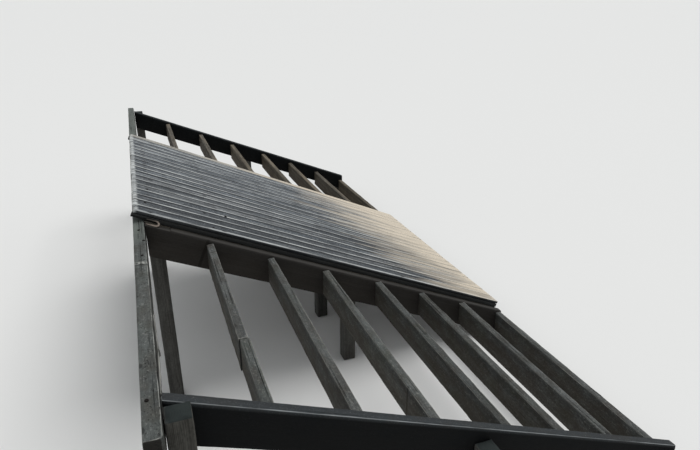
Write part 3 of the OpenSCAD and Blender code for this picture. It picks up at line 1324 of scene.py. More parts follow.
@dataclass(frozen=True)
class Incline:
    """The sloping plane of a timber's top, taken from the frame.

    Attributes:
        angle: How steeply it falls towards the front, in radians.
        head: Its height at the beam's front face.
        beam_face: The beam's front face, along X.
    """

    angle: float
    head: float
    beam_face: float

    @classmethod
    def of(cls, node: str, beam_face: float) -> "Incline":
        """Measures the plane of a CAD node's top.

        Args:
            node: The node's name.
            beam_face: The beam's front face, along X.

        Returns:
            The plane.
        """
        mesh = bpy.data.objects[node].data
        top = max((face for face in mesh.polygons if face.normal.z > 0.7), key=lambda face: face.area)
        angle = math.atan2(top.normal.x, top.normal.z)
        return cls(angle, top.center.z + (top.center.x - beam_face) * math.tan(angle), beam_face)

    def place(self, along: float, y: float, depth: float = 0.0) -> Matrix:
        """The place of a bench whose X runs down the slope.

        Args:
            along: Distance of its start down the slope from the beam's front face.
            y: Its place along Y.
            depth: Its depth below the plane, square to the slope.

        Returns:
            The bench's place.
        """
        turned = Matrix.Translation((self.beam_face, y, self.head)) @ Matrix.Rotation(self.angle, 4, "Y")
        return turned @ Matrix.Translation((along, 0.0, -depth))

    def along(self, x: float, depth: float = 0.0) -> float:
        """Distance down the slope to the point with this X that lies at a depth below the plane."""
        return (x - self.beam_face + depth * math.sin(self.angle)) / math.cos(self.angle)


def lengthwise(face: float, start: float, top: float, back: bool = False) -> Matrix:
    """The place of a bench whose X runs along the landing, from its near end or back towards it.

    Args:
        face: The timber's front face along X, or its rear face if the bench runs back.
        start: Where the timber starts, along Y.
        top: The height of its top face.
        back: Whether the bench runs back towards the near end.

    Returns:
        The bench's place.
    """
    turn = -math.pi / 2 if back else math.pi / 2
    return Matrix.Translation((face, start, top)) @ Matrix.Rotation(turn, 4, "Z")


def upright(corner: Vector) -> Matrix:
    """The place of a bench whose X runs up from a foot's lowest corner."""
    return Matrix.Translation(corner) @ Matrix.Rotation(-math.pi / 2, 4, "Y")


@dataclass
class Yard:
    """Where timbers are made, finished and named, and where the landing's own corner is known.

    Attributes:
        corner: Where the beam's front edge, its top and the deck's near edge meet.
        far_corner: The same at the deck's far edge.
        bench: Where the timbers are made.
        finishes: The finishes that are mixed so far, by their slots.
    """

    corner: Vector
    far_corner: Vector
    bench: Bench = field(default_factory=Bench)
    finishes: dict[str, bpy.types.Material] = field(default_factory=dict)

    def dress(self, piece: Piece, finish: WoodFinish, *nodes: str) -> None:
        """Finishes a piece, hangs it on the body it rides on, and hides the nodes of the frame that it stands
        for.

        Args:
            piece: The piece, in place.
            finish: Its finish.
            *nodes: The nodes of the frame that it stands for.
        """
        if finish.slot not in self.finishes:
            self.finishes[finish.slot] = finish.material()
        piece.data.materials.clear()
        piece.data.materials.append(self.finishes[finish.slot])
        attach(piece, BODY)
        if nodes:
            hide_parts(*nodes)
        log.info("%s: %d faces", piece.name, len(piece.data.polygons))


@dataclass
class SillBeam:
    """The beam along the head of the ramp and the steps, in two lengths with a half lap.

    Attributes:
        lap: Length of the half lap.
        front_corner: Radius of the worn front corner at each end.
        rear_corner: Radius of the rear corner at each end.
        rub: How many times narrower the band of wear and painted highlight is at the front edge, the rear one
            and the ends.
        seeds: Numbers that make the wear of the near and the far length their own.
        far_start: Where the far length's finish starts, so that it repeats no mark of the near one.
        weather: How worn it is.
        spikes: Where old spikes show in the top, along X and Y from the corner.
        spike_size: How many times larger a spike's head is than a nail's.
        spike_depth: Depth of the middle of its head below the beam's top.
    """

    lap: float = 0.200
    front_corner: float = 0.028
    rear_corner: float = 0.014
    rub: tuple[float, float, float] = (1.0, 2.5, 1.0)
    seeds: tuple[int, int] = (11, 12)
    far_start: float = 10.0
    weather: Weather = Weather(hollow=0.004, furrow=0.0022, chipped=0.010, splits=8)
    spikes: tuple[tuple[float, float], ...] = (
        (-0.045, -0.170), (-0.016, -0.389), (-0.032, -0.653), (-0.058, -2.227),
    )
    spike_size: float = 2.3
    spike_depth: float = 0.0065

    def build(self, yard: Yard) -> list[Matrix]:
        """Models both lengths, each from its worn end.

        Args:
            yard: Where the timbers are made.

        Returns:
            The places of the spikes.
        """
        for side, seed in zip(Side, self.seeds):
            node = f"{side.value}_sill_beam"
            low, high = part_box(node)
            near = side is Side.NEAR
            corners = (self.front_corner, self.rear_corner)
            front, rear, ends = self.rub
            shape = Shape(
                rounded(high.y - low.y - self.lap), rounded(high.x - low.x), rounded(high.z - low.z),
                arris=0.007, cell=0.011, corners=corners if near else corners[::-1], lap=self.lap,
                lap_low=near, rub=(front, rear, ends) if near else (rear, front, ends),
            )
            if near:
                place = lengthwise(high.x, low.y, high.z)
            else:
                place = lengthwise(low.x, high.y, high.z, back=True)
            start = 0.0 if near else self.far_start
            yard.dress(yard.bench.timber(node + "_worn", shape, self.weather, place, seed, start), BEAM, node)
        larger = Matrix.Scale(self.spike_size, 4)
        return [
            Matrix.Translation(yard.corner + Vector((x, y, -self.spike_depth))) @ larger
            for x, y in self.spikes
        ]


@dataclass
class Sliver:
    """The thin sliver that has sprung off the beam's front edge.

    Attributes:
        near: Its near end, along Y from the corner.
        far: Its far end.
        width: Its thickness, square to the beam's face.
        depth: Its depth.
        proud: How far it stands out from the beam's face.
        below: How far its top lies below the beam's.
        bowed: How much farther its middle stands out.
        wave: How far its top rises and falls.
        sunk: How far its top lies below that on the whole.
        underside: Depth from which its points are its underside.
        thinned: How far the underside rises at both ends.
        rows: Number of lengths that are shifted one by one.
        weather: How worn it is.
        seed: Number that makes its wear its own.
    """

    near: float = -2.200
    far: float = -1.480
    width: float = 0.009
    depth: float = 0.030
    proud: float = 0.0065
    below: float = 0.004
    bowed: float = 0.0065
    wave: float = 0.004
    sunk: float = 0.003
    underside: float = 0.012
    thinned: float = 0.016
    rows: int = 18
    weather: Weather = Weather(hollow=0.001, furrow=0.0006, chipped=0.001)
    seed: int = 14

    def build(self, yard: Yard) -> None:
        """Models the sliver.

        Args:
            yard: Where the timbers are made.
        """
        shape = Shape(self.far - self.near, self.width, self.depth, arris=0.0022, step=0.02, cell=0.005)
        corner = yard.corner
        place = lengthwise(corner.x + self.proud, corner.y + self.near, corner.z - self.below)
        piece = yard.bench.timber("beam_sliver", shape, self.weather, place, self.seed, shaping=self._spring)
        yard.dress(piece, NEAR_RISER)

    def _spring(self, piece: Piece) -> None:
        """Bows the sliver away from the beam, and thins it to both ends.

        Args:
            piece: The piece, on the bench.
        """
        length = self.far - self.near
        with editing(piece):
            for row in range(self.rows):
                middle = (row + 0.5) / self.rows
                low = row / self.rows * length - TINY
                high = (row + 1) / self.rows * length + (row == self.rows - 1)
                bow = math.sin(math.pi * middle) ** 0.7
                lift = self.wave * math.sin(9.0 * middle) - self.sunk
                pick_points(piece, lambda p: low <= p.x < high)
                bpy.ops.transform.translate(value=(0.0, -self.bowed * bow, lift))
                pick_points(piece, lambda p: low <= p.x < high and p.z < -self.underside)
                bpy.ops.transform.translate(value=(0.0, 0.0, self.thinned * (1.0 - bow)))


@dataclass
class StepFlight:
    """The seven risers on one side of the ramp.

    Attributes:
        side: Which side of the ramp.
        finish: The risers' finish.
        seed: Number that makes their wear their own.
        count: Number of risers.
        joint_at: Distance from the closing board to the joint in the first near riser.
        joint_step: Distance that the near length of that riser stands forward.
        end_piece: Length of that riser's loose end piece.
        crack: Width of the crack beside the end piece.
        rub: How many times narrower the band of wear and painted highlight is at the front edge, the rear one
            and the ends.
        splits: Number of splits in a length.
        least_split: Least length that has splits.
    """

    side: Side
    finish: WoodFinish
    seed: int
    count: int = 7
    joint_at: float = 1.465
    joint_step: float = 0.008
    end_piece: float = 0.165
    crack: float = 0.004
    rub: tuple[float, float, float] = (1.0, 2.5, 1.0)
    splits: int = 3
    least_split: float = 0.5

    def _lengths(self, number: int, near: float, far: float) -> list[tuple[float, float, float]]:
        """The lengths that a riser is laid in.

        Args:
            number: The riser's number, from the beam down.
            near: Its near end, along Y.
            far: Its far end, along Y.

        Returns:
            The near end, the far end and the step forward of each length.
        """
        if self.side is not Side.NEAR or number != 1:
            return [(near, far, 0.0)]
        joint = far - self.joint_at
        split = far - self.end_piece - self.crack
        return [(near, joint, self.joint_step), (joint, split, 0.0), (split + self.crack, far, 0.0)]

    def build(self, yard: Yard) -> None:
        """Models each riser.

        Args:
            yard: Where the timbers are made.
        """
        for number in range(1, self.count + 1):
            node = f"{self.side.value}_riser_{number}"
            low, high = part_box(node)
            lengths = self._lengths(number, low.y, high.y)
            forward = max(step for _, _, step in lengths)
            thick = rounded(high.x - low.x - forward)
            pieces = []
            for index, (near, far, step) in enumerate(lengths):
                shape = Shape(rounded(far - near), thick, rounded(high.z - low.z), arris=0.006, rub=self.rub)
                weather = Weather(chipped=0.008, splits=self.splits if far - near > self.least_split else 0)
                place = lengthwise(high.x - forward + step, near, high.z)
                seed = self.seed + 10 * number + index
                pieces.append(yard.bench.timber(node, shape, weather, place, seed))
            yard.dress(joined(pieces, node + "_worn"), self.finish, node)


@dataclass
class SlopingBoards:
    """Boards that follow the slope with plumb ends: the edge boards and the closing boards.

    Attributes:
        kind: The end of their names.
        finish: Their finish.
        depth: Their depth, square to the slope.
        lit: How far down their sides the top's finish reaches before the painted shade starts.
        inner_rub: How many times narrower the band of wear and painted highlight is at their inner edge than
            at the outer one.
        weather: How worn they are.
        seed: Number that makes their wear their own.
    """

    kind: str = "edge_board"
    finish: WoodFinish = EDGE
    depth: float = 0.240
    lit: float = 0.006
    inner_rub: float = 3.0
    weather: Weather = Weather(hollow=0.0015, furrow=0.0012, chipped=0.005, splits=1)
    seed: int = 200

    def build(self, yard: Yard) -> None:
        """Models the near one and the far one.

        Args:
            yard: Where the timbers are made.
        """
        for index, side in enumerate(Side):
            node = f"{side.value}_{self.kind}"
            low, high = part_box(node)
            incline = Incline.of(node, yard.corner.x)
            length = rounded((high.x - low.x) / math.cos(incline.angle))
            angle = rounded(incline.angle)
            place = incline.place(0.0, low.y)
            shape = Shape(
                length, rounded(high.y - low.y), self.depth, arris=0.006, lit=self.lit,
                cuts=((0.0, angle), (length, angle)), slot=self.slot(side),
                level=rounded(place.translation.z - low.z),
                rub=(1.0, self.inner_rub, 1.0) if side is Side.NEAR else (self.inner_rub, 1.0, 1.0),
            )
            seed = self.seed + index
            piece = yard.bench.timber(
                node + "_worn", shape, self.weather, place, seed, hollow=self.hollow(side)
            )
            yard.dress(piece, self.finish, node)

    def slot(self, side: Side) -> tuple[Corner, Corner] | None:
        """The slot in the board on one side, if it has one."""
        return None

    def hollow(self, side: Side) -> Callable[[Vector], bool] | None:
        """What says whether a point of the board lies in a hollow painted dark as shade, if it has one."""
        return None


@dataclass
class ClosingBoards(SlopingBoards):
    """The boards that close the steps beside the ramp, the near one with a slot that rot has left in its top.

    Attributes:
        slot_length: Length of the slot.
        slot_depth: Depth of the slot.
        slot_in: How far the slot reaches into the board.
        painted_shade_to: Distance along the slot to which it is painted dark as shade.
        lit_edge: Width of its outer edge that is left out of that painted shade.
    """

    kind: str = "closing_board"
    finish: WoodFinish = CLOSING
    depth: float = 0.260
    lit: float = 0.020
    seed: int = 210
    slot_length: float = 0.205
    slot_depth: float = 0.010
    slot_in: float = 0.08
    painted_shade_to: float = 0.125
    lit_edge: float = 0.018

    def slot(self, side: Side) -> tuple[Corner, Corner] | None:
        """The slot in the near board's top, from the beam to its round end.

        Args:
            side: Which board is asked for.

        Returns:
            The slot's lowest and highest corner, or None for the far board.
        """
        if side is Side.FAR:
            return None
        return (-0.05, -0.01, -self.slot_depth), (self.slot_length, self.slot_in, self.slot_depth)

    def hollow(self, side: Side) -> Callable[[Vector], bool] | None:
        """The part of the near board's slot that is painted dark as shade.

        Args:
            side: Which board is asked for.

        Returns:
            What says whether a point lies in it, or None for the far board.
        """
        if side is Side.FAR:
            return None
        return lambda p: p.x < self.painted_shade_to and p.y > self.lit_edge and -self.slot_depth - TINY < p.z < -0.002


@dataclass
class Deck:
    """The deck boards, which run down the slope.

    Attributes:
        groups: The nodes, each with its number of boards and its finish.
        gap: Gap between two boards in the frame.
        thick: Thickness of a board.
        arris: Width of a board's eased edges.
        shrunk: Most that a board has shrunk from each edge.
        round_end: Radius of a board's worn upper end.
        ragged: Most that a board's upper end stops short of the line.
        settled: Most that a board's face lies below its neighbour's.
        rub: How many times narrower the band of wear and painted highlight is at a board's near edge, its far
            one and its ends.
        first_rub: The same at the first board's near edge, where feet step on and the painted highlight is
            widest.
        lit: How far down a board's sides the finish of its face reaches before the painted shade starts.
        lighter: How much lighter the last board is than the first: painted shade near, painted light far.
        bolts: Where old bolts show in the face, each by its distance down the slope and along Y.
        bolt_size: How many times larger a bolt's head is than a nail's.
        bolt_depth: Depth of the middle of its head below the face.
        nail_depth: Depth of the middle of a nail's head below the face.
        two_nails: Least width of a board with two nails in a row.
        weather: How worn the boards are.
        seed: Number that makes their places and tones their own.
    """

    groups: tuple[tuple[str, int, WoodFinish], ...] = (
        ("near_deck_boards", 6, DECK),
        ("middle_deck_boards", 6, DECK),
        ("far_deck_boards", 6, DECK),
        ("narrow_deck_board", 1, STRIP),
        ("deck_edge_strip", 1, STRIP),
    )
    gap: float = 0.005
    thick: float = 0.032
    arris: float = 0.0045
    shrunk: float = 0.0012
    round_end: float = 0.024
    ragged: float = 0.009
    settled: float = 0.0016
    rub: tuple[float, float, float] = (1.0, 6.0, 0.38)
    first_rub: float = 0.50
    lit: float = 0.001
    lighter: float = 0.75
    bolts: tuple[tuple[float, float], ...] = (
        (0.027, 0.422), (0.026, 0.247), (0.056, 0.649), (0.579, 0.055),
        (0.542, 0.391), (0.759, 0.117), (0.750, 0.456), (1.295, 0.175),
    )
    bolt_size: float = 2.7
    bolt_depth: float = 0.0081
    nail_depth: float = 0.0044
    two_nails: float = 0.1
    weather: Weather = Weather(hollow=0.0015, furrow=0.0014, chipped=0.0040)
    seed: int = 77

    def build(self, yard: Yard, incline: Incline) -> list[Matrix]:
        """Models each board, and joins each group.

        Args:
            yard: Where the timbers are made.
            incline: The plane of the deck's face.

        Returns:
            The places of the nails.
        """
        luck = random.Random(self.seed)
        near_edge = yard.corner.y
        whole = yard.far_corner.y - near_edge
        nails = [
            incline.place(along, near_edge + y, self.bolt_depth) @ Matrix.Scale(self.bolt_size, 4)
            for along, y in self.bolts
        ]
        for node, count, finish in self.groups:
            low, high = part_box(node)
            width = (high.y - low.y + self.gap) / count - self.gap
            start = incline.along(low.x, self.thick)
            shape = Shape(
                rounded(incline.along(high.x) - start), rounded(width - 2 * self.shrunk), self.thick,
                arris=self.arris, step=0.028, cell=0.0135, round_end=self.round_end, rub=self.rub,
                lit=self.lit,
            )
            first = replace(shape, rub=(self.first_rub, *self.rub[1:]))
            pieces = []
            for index in range(count):
                short = luck.uniform(0.0, self.ragged)
                sunk = luck.uniform(0.0, self.settled)
                y = low.y + index * (width + self.gap) + self.shrunk
                weather = replace(self.weather, splits=luck.choice((0, 1, 1, 2)) if count > 1 else 0)
                seed = luck.randrange(10**6)
                place = incline.place(start, y, sunk)
                # Painted light and shade: the tone rises from the near boards, toned as in shade, to the far
                # ones, toned as lit.
                tone = self.lighter * (y - near_edge) / whole + luck.uniform(0.0, 1.0 - self.lighter)
                board = first if y - near_edge < self.gap else shape
                trim = partial(self._trim, short=short, sunk=sunk)
                pieces.append(yard.bench.timber(node, board, weather, place, seed, start, trim, tone=tone))
                nails.extend(self._nails(incline, y, width, sunk))
            yard.dress(joined(pieces, node + "_worn"), finish, node)
        return nails

    def _trim(self, piece: Piece, short: float, sunk: float) -> None:
        """Trims a board's upper end, and keeps its underside on the bearers.

        Args:
            piece: The board, on the bench.
            short: How far its upper end stops short of the line.
            sunk: How far it lies below the plane.
        """
        with editing(piece):
            pick_points(piece, lambda p: p.x < self.round_end + 0.008)
            bpy.ops.transform.translate(value=(short, 0.0, 0.0))
            pick_points(piece, lambda p: p.z < self.arris - self.thick)
            bpy.ops.transform.translate(value=(0.0, 0.0, sunk))

    def _nails(self, incline: Incline, y: float, width: float, sunk: float) -> list[Matrix]:
        """Where one board is nailed to the bearers.

        Args:
            incline: The plane of the deck's face.
            y: The board's near edge.
            width: The board's width.
            sunk: How far it lies below the plane.

        Returns:
            The places of its nails.
        """
        rows = DECK_NAILS
        insets = (-rows.inset, rows.inset) if width > self.two_nails else (0.0,)
        middle = y - self.shrunk + width / 2
        return [
            incline.place(rows.first + row * rows.pitch, middle + inset, sunk + self.nail_depth)
            for row in range(rows.count)
            for inset in insets
        ]


@dataclass
class RampFrame:
    """What carries the deck: edge battens, bearers, joists and the foot sill.

    Attributes:
        board: Thickness of the deck boards.
        batten_depth: Depth of the battens and the bearers.
        bearer_width: Width of a bearer.
        bearers: Number of bearers.
        joist_depth: Depth of a joist.
        hollow_end: Distance down the slope to the round end of the near batten's hollow, left by rot.
        hollow_top: Depth of that hollow's top below the batten's top.
        hollow_in: How far it reaches into the batten.
        seed: Number that makes the wear of the battens, the bearers, the sill and the joists their own.
    """

    board: float = 0.032
    batten_depth: float = 0.042
    bearer_width: float = 0.075
    bearers: int = 7
    joist_depth: float = 0.150
    hollow_end: float = 0.123
    hollow_top: float = 0.018
    hollow_in: float = 0.024
    seed: int = 300

    def build(self, yard: Yard, incline: Incline) -> None:
        """Models the battens, the lip of torn wood, the bearers, the joists and the foot sill.

        Args:
            yard: Where the timbers are made.
            incline: The plane of the deck's face.
        """
        self._battens(yard, incline)
        TornLip().build(yard, incline)
        self._bearers(yard, incline)
        self._joists(yard, incline)
        low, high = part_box("ramp_foot_sill")
        shape = Shape(high.y - low.y, high.x - low.x, high.z - low.z, step=0.03, cell=0.016)
        place = lengthwise(high.x, low.y, high.z)
        sill = yard.bench.timber("ramp_foot_sill_worn", shape, Weather(), place, self.seed + 30)
        yard.dress(sill, FRAME, "ramp_foot_sill")

    def _battens(self, yard: Yard, incline: Incline) -> None:
        """Models the battens under the deck's edges, the near one with its hollow, painted dark inside as
        shade.

        Args:
            yard: Where the timbers are made.
            incline: The plane of the deck's face.
        """
        for index, side in enumerate(Side):
            node = f"{side.value}_rim_batten"
            low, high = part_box(node)
            start = incline.along(low.x, self.board + self.batten_depth)
            near = side is Side.NEAR
            hollow_end = self.hollow_end - start
            slot = (-0.05, -0.01, -0.060), (hollow_end, self.hollow_in, -self.hollow_top)
            shape = Shape(
                rounded(incline.along(high.x, self.board) - start), rounded(high.y - low.y),
                self.batten_depth, arris=0.003, step=0.028, slot=slot if near else None,
            )
            # The inside of the near batten's hollow is painted in full shade.
            piece = yard.bench.timber(
                node + "_worn", shape, Weather(hollow=0.001, chipped=0.003),
                incline.place(start, low.y, self.board), self.seed + index, start,
                hollow=lambda p: near and p.x < hollow_end + 0.001 and 0.002 < p.y < 0.030 and p.z < -0.017,
            )
            yard.dress(piece, BATTEN, node)

    def _bearers(self, yard: Yard, incline: Incline) -> None:
        """Models the bearers that the boards are nailed to.

        Args:
            yard: Where the timbers are made.
            incline: The plane of the deck's face.
        """
        low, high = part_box("cross_bearers")
        first = incline.along(low.x, self.board + self.batten_depth)
        last = incline.along(high.x, self.board) - self.bearer_width
        length = rounded(high.y - low.y)
        shape = Shape(length, self.bearer_width, self.batten_depth, arris=0.003, step=0.035, cell=0.018)
        turn = Matrix.Rotation(math.pi / 2, 4, "Z")
        pieces = []
        for row in range(self.bearers):
            along = first + (last - first) * row / (self.bearers - 1) + self.bearer_width
            place = incline.place(along, low.y, self.board) @ turn
            seed = self.seed + 10 + row
            pieces.append(yard.bench.timber("bearer", shape, Weather(chipped=0.003), place, seed))
        yard.dress(joined(pieces, "cross_bearers_worn"), FRAME, "cross_bearers")

    def _joists(self, yard: Yard, incline: Incline) -> None:
        """Models the joists, with their level seats on the foot sill.

        Args:
            yard: Where the timbers are made.
            incline: The plane of the deck's face.
        """
        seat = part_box("ramp_foot_sill")[1].z
        drop = self.board + self.batten_depth
        angle = rounded(incline.angle)
        nodes = [f"{side.value}_{kind}" for kind in ("side_joist", "inner_joist") for side in Side]
        for index, node in enumerate(nodes):
            low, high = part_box(node)
            length = rounded((high.x - low.x) / math.cos(incline.angle))
            place = incline.place(incline.along(low.x, drop), low.y, drop)
            shape = Shape(
                length, rounded(high.y - low.y), self.joist_depth, arris=0.004, step=0.03, cell=0.016,
                cuts=((0.0, angle), (length, angle)), level=rounded(place.translation.z - seat),
            )
            seed = self.seed + 40 + index
            yard.dress(yard.bench.timber(node + "_worn", shape, Weather(splits=2), place, seed), FRAME, node)


@dataclass
class TornLip:
    """The lip of torn wood round the hollow: a bow that lies open towards the beam.

    Attributes:
        end: Distance down the slope to the middle of its round end.
        y: Place of its middle, from the deck's near edge.
        depth: Depth of its middle below the deck's face.
        radius: Radius of its round end.
        arm: Length of its two arms.
        tilt: How far it leans back against the batten, in radians.
        half_width: Half its width.
        half_thick: Half its thickness.
        sides: Number of sides of its section.
        bends: Number of steps round its end.
        joints: Number of lengths of an arm.
        taper: What is left of its width and of its thickness after each such length.
        weather: How worn it is.
        seed: Number that makes its wear its own.
    """

    end: float = 0.1185
    y: float = -0.0245
    depth: float = 0.062
    radius: float = 0.0230
    arm: float = 0.080
    tilt: float = 0.588
    half_width: float = 0.0115
    half_thick: float = 0.0045
    sides: int = 10
    bends: int = 14
    joints: int = 5
    taper: tuple[float, float] = (0.90, 0.86)
    weather: Weather = Weather(hollow=0.003, furrow=0.0045, chipped=0.0)
    seed: int = 305

    def build(self, yard: Yard, incline: Incline) -> None:
        """Models the lip, spun round its end and drawn out into its arms.

        Args:
            yard: Where the timbers are made.
            incline: The plane of the deck's face.
        """
        piece = self._section()
        with editing(piece):
            bpy.ops.mesh.select_all(action="SELECT")
            bpy.ops.mesh.spin(steps=self.bends, angle=math.pi, center=(0.0, 0.0, 0.0), axis=(0.0, 0.0, 1.0))
            for side in (-1.0, 1.0):
                end = (-self.arm, side * self.radius, 0.0)
                for _ in range(self.joints):
                    pick_faces(piece, lambda middle, normal: abs(normal.x) > 0.9 and middle.y * side > 0.0)
                    step = (-self.arm / self.joints, 0.0, 0.0)
                    bpy.ops.mesh.extrude_region_move(TRANSFORM_OT_translate={"value": step})
                    bpy.ops.transform.resize(value=(1.0, *self.taper), center_override=end)
            bpy.ops.mesh.select_all(action="SELECT")
            bpy.ops.mesh.remove_doubles(threshold=TINY)
            bpy.ops.mesh.normals_make_consistent(inside=False)
        alone(piece)
        smooth = piece.modifiers.new("rounder", "SUBSURF")
        smooth.levels = smooth.render_levels = 1
        bpy.ops.object.modifier_apply(modifier=smooth.name)
        self.weather.wear_down(piece, random.Random(self.seed))
        note(piece, "bench", [c for point in piece.data.vertices for c in point.co])
        place = incline.place(self.end, yard.corner.y + self.y, self.depth)
        settle(piece, place @ Matrix.Rotation(self.tilt, 4, "X"))
        piece.data.materials.append(TornFinish().material())
        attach(piece, BODY)
        log.info("%s: %d faces", piece.name, len(piece.data.polygons))

    def _section(self) -> Piece:
        """Adds the lip's oval section, where its round end starts.

        Returns:
            The section.
        """
        bpy.ops.object.select_all(action="DESELECT")
        bpy.ops.mesh.primitive_circle_add(
            vertices=self.sides, radius=1.0, fill_type="NGON",
            location=(0.0, self.radius, 0.0), rotation=(0.0, math.pi / 2, 0.0),
        )
        piece = bpy.context.active_object
        piece.name = "torn_lip"
        piece.scale = (self.half_thick, self.half_width, 1.0)
        bpy.ops.object.transform_apply(location=True, rotation=True, scale=True)
        return piece


@dataclass
class Posts:
    """The square posts, outside the edge boards and under the joists.

    Attributes:
        outer: The ends of the names of those outside the edge boards.
        under: The ends of the names of those under the joists.
        seed: Number that makes their wear their own.
    """

    outer: tuple[str, ...] = ("corner_post", "middle_post", "foot_post")
    under: tuple[str, ...] = ("head_post", "joist_post", "inner_post")
    seed: int = 400

    def build(self, yard: Yard, incline: Incline) -> None:
        """Models the posts, those under the joists with a sloping top.

        Args:
            yard: Where the timbers are made.
            incline: The plane of the deck's face.
        """
        slant = -rounded(incline.angle)
        kinds = [(kind, side) for kind in self.outer + self.under for side in Side]
        for index, (kind, side) in enumerate(kinds):
            node = f"{side.value}_{kind}"
            low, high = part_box(node)
            height = rounded(high.z - low.z)
            shape = Shape(
                height, rounded(high.y - low.y), rounded(high.x - low.x), arris=0.007, step=0.03,
                cuts=((height, slant),) if kind in self.under else (),
            )
            place = upright(Vector((low.x, low.y, low.z)))
            piece = yard.bench.timber(node + "_worn", shape, Weather(splits=2), place, self.seed + index)
            yard.dress(piece, POST, node)


@dataclass
class Nails:
    """Old cut nails, two to a board over each bearer, and the larger heads of bolts and spikes.

    Attributes:
        radius: Radius of a head.
        rise: Height of a head above the wood.
        length: Length of a head with the start of its shank.
        sides: Number of sides of a head.
    """

    radius: float = 0.0042
    rise: float = 0.0012
    length: float = 0.006
    sides: int = 10

    def _head(self) -> Piece:
        """Models one head, with a domed, hammered top.

        Returns:
            The head, with its middle at the origin.
        """
        bpy.ops.object.select_all(action="DESELECT")
        bpy.ops.mesh.primitive_cylinder_add(vertices=self.sides, radius=self.radius, depth=self.length)
        piece = bpy.context.active_object
        with editing(piece):
            pick_faces(piece, lambda middle, normal: normal.z > 0.9)
            bpy.ops.mesh.inset(thickness=self.radius * 0.35, depth=self.rise * 0.4)
            bpy.ops.mesh.inset(thickness=self.radius * 0.3, depth=-self.rise * 0.2)
        return piece

    def build(self, places: list[Matrix]) -> None:
        """Drives a nail at each place.

        Args:
            places: The place of each head, with +Z out of the wood.
        """
        head = self._head()
        pieces = []
        for place in places:
            copy = head.copy()
            copy.data = head.data.copy()
            bpy.context.scene.collection.objects.link(copy)
            copy.data.transform(place)
            pieces.append(copy)
        bpy.data.objects.remove(head)
        piece = joined(pieces, "nail_heads")
        piece.data.materials.append(IronFinish().material())
        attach(piece, BODY)
        log.info("%s: %d heads", piece.name, len(places))


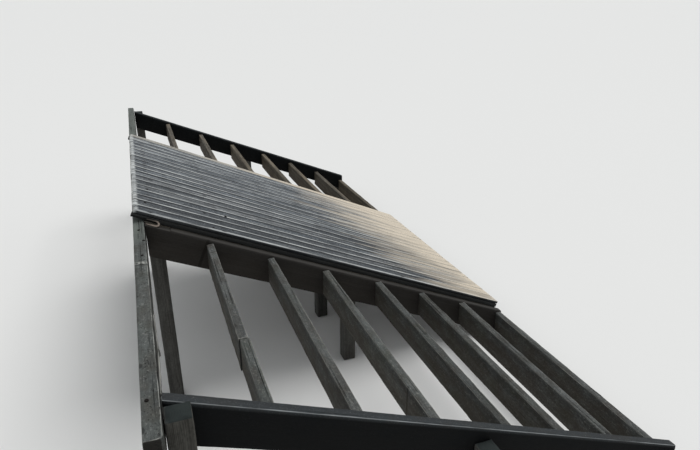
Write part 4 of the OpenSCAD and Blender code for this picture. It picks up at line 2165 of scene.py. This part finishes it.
@dataclass
class Studio:
    """The pale floor, the soft lamps and the camera at the photograph's angle.

    Attributes:
        eye: The camera's place from the landing's corner.
        yaw: Its turn from +Y towards +X, in radians.
        pitch: Its tilt down, in radians.
        focal_share: Its focal length as a share of the picture's width.
        pale: Colour of the floor and of what the camera sees behind it.
        reach: Width of the floor.
        key_strength: Strength of the lamp.
        key_spread: How broad the lamp is, as an angle.
        key_from: Where the lamp's light comes from.
        sky: Colour of the light round the landing.
        sky_strength: Strength of that light.
    """

    eye: Vector = field(default_factory=lambda: Vector((0.080, -4.373, 1.616)))
    yaw: float = 0.36005
    pitch: float = 0.38515
    focal_share: float = 557.28 / 700.0
    pale: Colour = (0.80, 0.795, 0.78)
    reach: float = 3000.0
    key_strength: float = 1.75
    key_spread: float = math.radians(42.0)
    key_from: Corner = (0.42, 0.12, 1.0)
    sky: Colour = (0.95, 0.98, 1.0)
    sky_strength: float = 0.50

    def camera(self, corner: Vector) -> None:
        """Sets the camera up.

        Args:
            corner: The landing's corner.
        """
        data = bpy.data.cameras.new("eye")
        data.sensor_width = 36.0
        data.lens = self.focal_share * data.sensor_width
        data.clip_end = 5000.0
        camera = bpy.data.objects.new("eye", data)
        camera.location = corner + self.eye
        camera.rotation_euler = (math.pi / 2 - self.pitch, 0.0, -self.yaw)
        bpy.context.scene.collection.objects.link(camera)
        bpy.context.scene.camera = camera

    def floor(self) -> None:
        """Lays the pale floor at the feet of the posts."""
        bpy.ops.object.select_all(action="DESELECT")
        bpy.ops.mesh.primitive_plane_add(size=self.reach, location=(0.0, 0.0, -0.001))
        floor = bpy.context.active_object
        floor.name = "floor"
        floor.data.materials.append(Tree("floor").finish((*self.pale, 1.0), 0.9, None, 0.0))

    def lamps(self) -> None:
        """Hangs a broad soft lamp over the front and a pale sky round it."""
        data = bpy.data.lights.new("key", "SUN")
        data.energy = self.key_strength
        data.angle = self.key_spread
        lamp = bpy.data.objects.new("key", data)
        lamp.rotation_euler = Vector(self.key_from).to_track_quat("Z", "Y").to_euler()
        bpy.context.scene.collection.objects.link(lamp)
        world = bpy.data.worlds.new("studio")
        world.use_nodes = True
        nodes, links = world.node_tree.nodes, world.node_tree.links
        nodes.clear()
        light = nodes.new("ShaderNodeBackground")
        light.inputs[0].default_value = (*self.sky, 1.0)
        light.inputs[1].default_value = self.sky_strength
        seen = nodes.new("ShaderNodeBackground")
        seen.inputs[0].default_value = (*self.pale, 1.0)
        path = nodes.new("ShaderNodeLightPath")
        mix = nodes.new("ShaderNodeMixShader")
        output = nodes.new("ShaderNodeOutputWorld")
        links.new(path.outputs["Is Camera Ray"], mix.inputs[0])
        links.new(light.outputs[0], mix.inputs[1])
        links.new(seen.outputs[0], mix.inputs[2])
        links.new(mix.outputs[0], output.inputs[0])
        bpy.context.scene.world = world

    def set_up(self, corner: Vector) -> None:
        """Sets up floor, lamps and camera, and leaves colours as they are written.

        Args:
            corner: The landing's corner.
        """
        self.floor()
        self.lamps()
        self.camera(corner)
        bpy.context.scene.view_settings.view_transform = "Standard"


def main() -> None:
    """Builds the landing around its frame, and the studio round it."""
    logging.basicConfig(level=logging.INFO, format="%(message)s")
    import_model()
    bpy.ops.object.select_all(action="DESELECT")

    _, beam_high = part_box("near_sill_beam")
    near_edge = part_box("near_deck_boards")[0].y
    far_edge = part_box("deck_edge_strip")[1].y
    yard = Yard(Vector((beam_high.x, near_edge, beam_high.z)), Vector((beam_high.x, far_edge, beam_high.z)))
    incline = Incline.of("near_deck_boards", beam_high.x)

    nails = SillBeam().build(yard)
    Sliver().build(yard)
    StepFlight(Side.NEAR, NEAR_RISER, seed=400).build(yard)
    StepFlight(Side.FAR, FAR_RISER, seed=300).build(yard)
    SlopingBoards().build(yard)
    ClosingBoards().build(yard)
    nails += Deck().build(yard, incline)
    RampFrame().build(yard, incline)
    Posts().build(yard, incline)
    yard.bench.clear()
    Nails().build(nails)

    Studio().set_up(yard.corner)


if __name__ == "__main__":
    main()
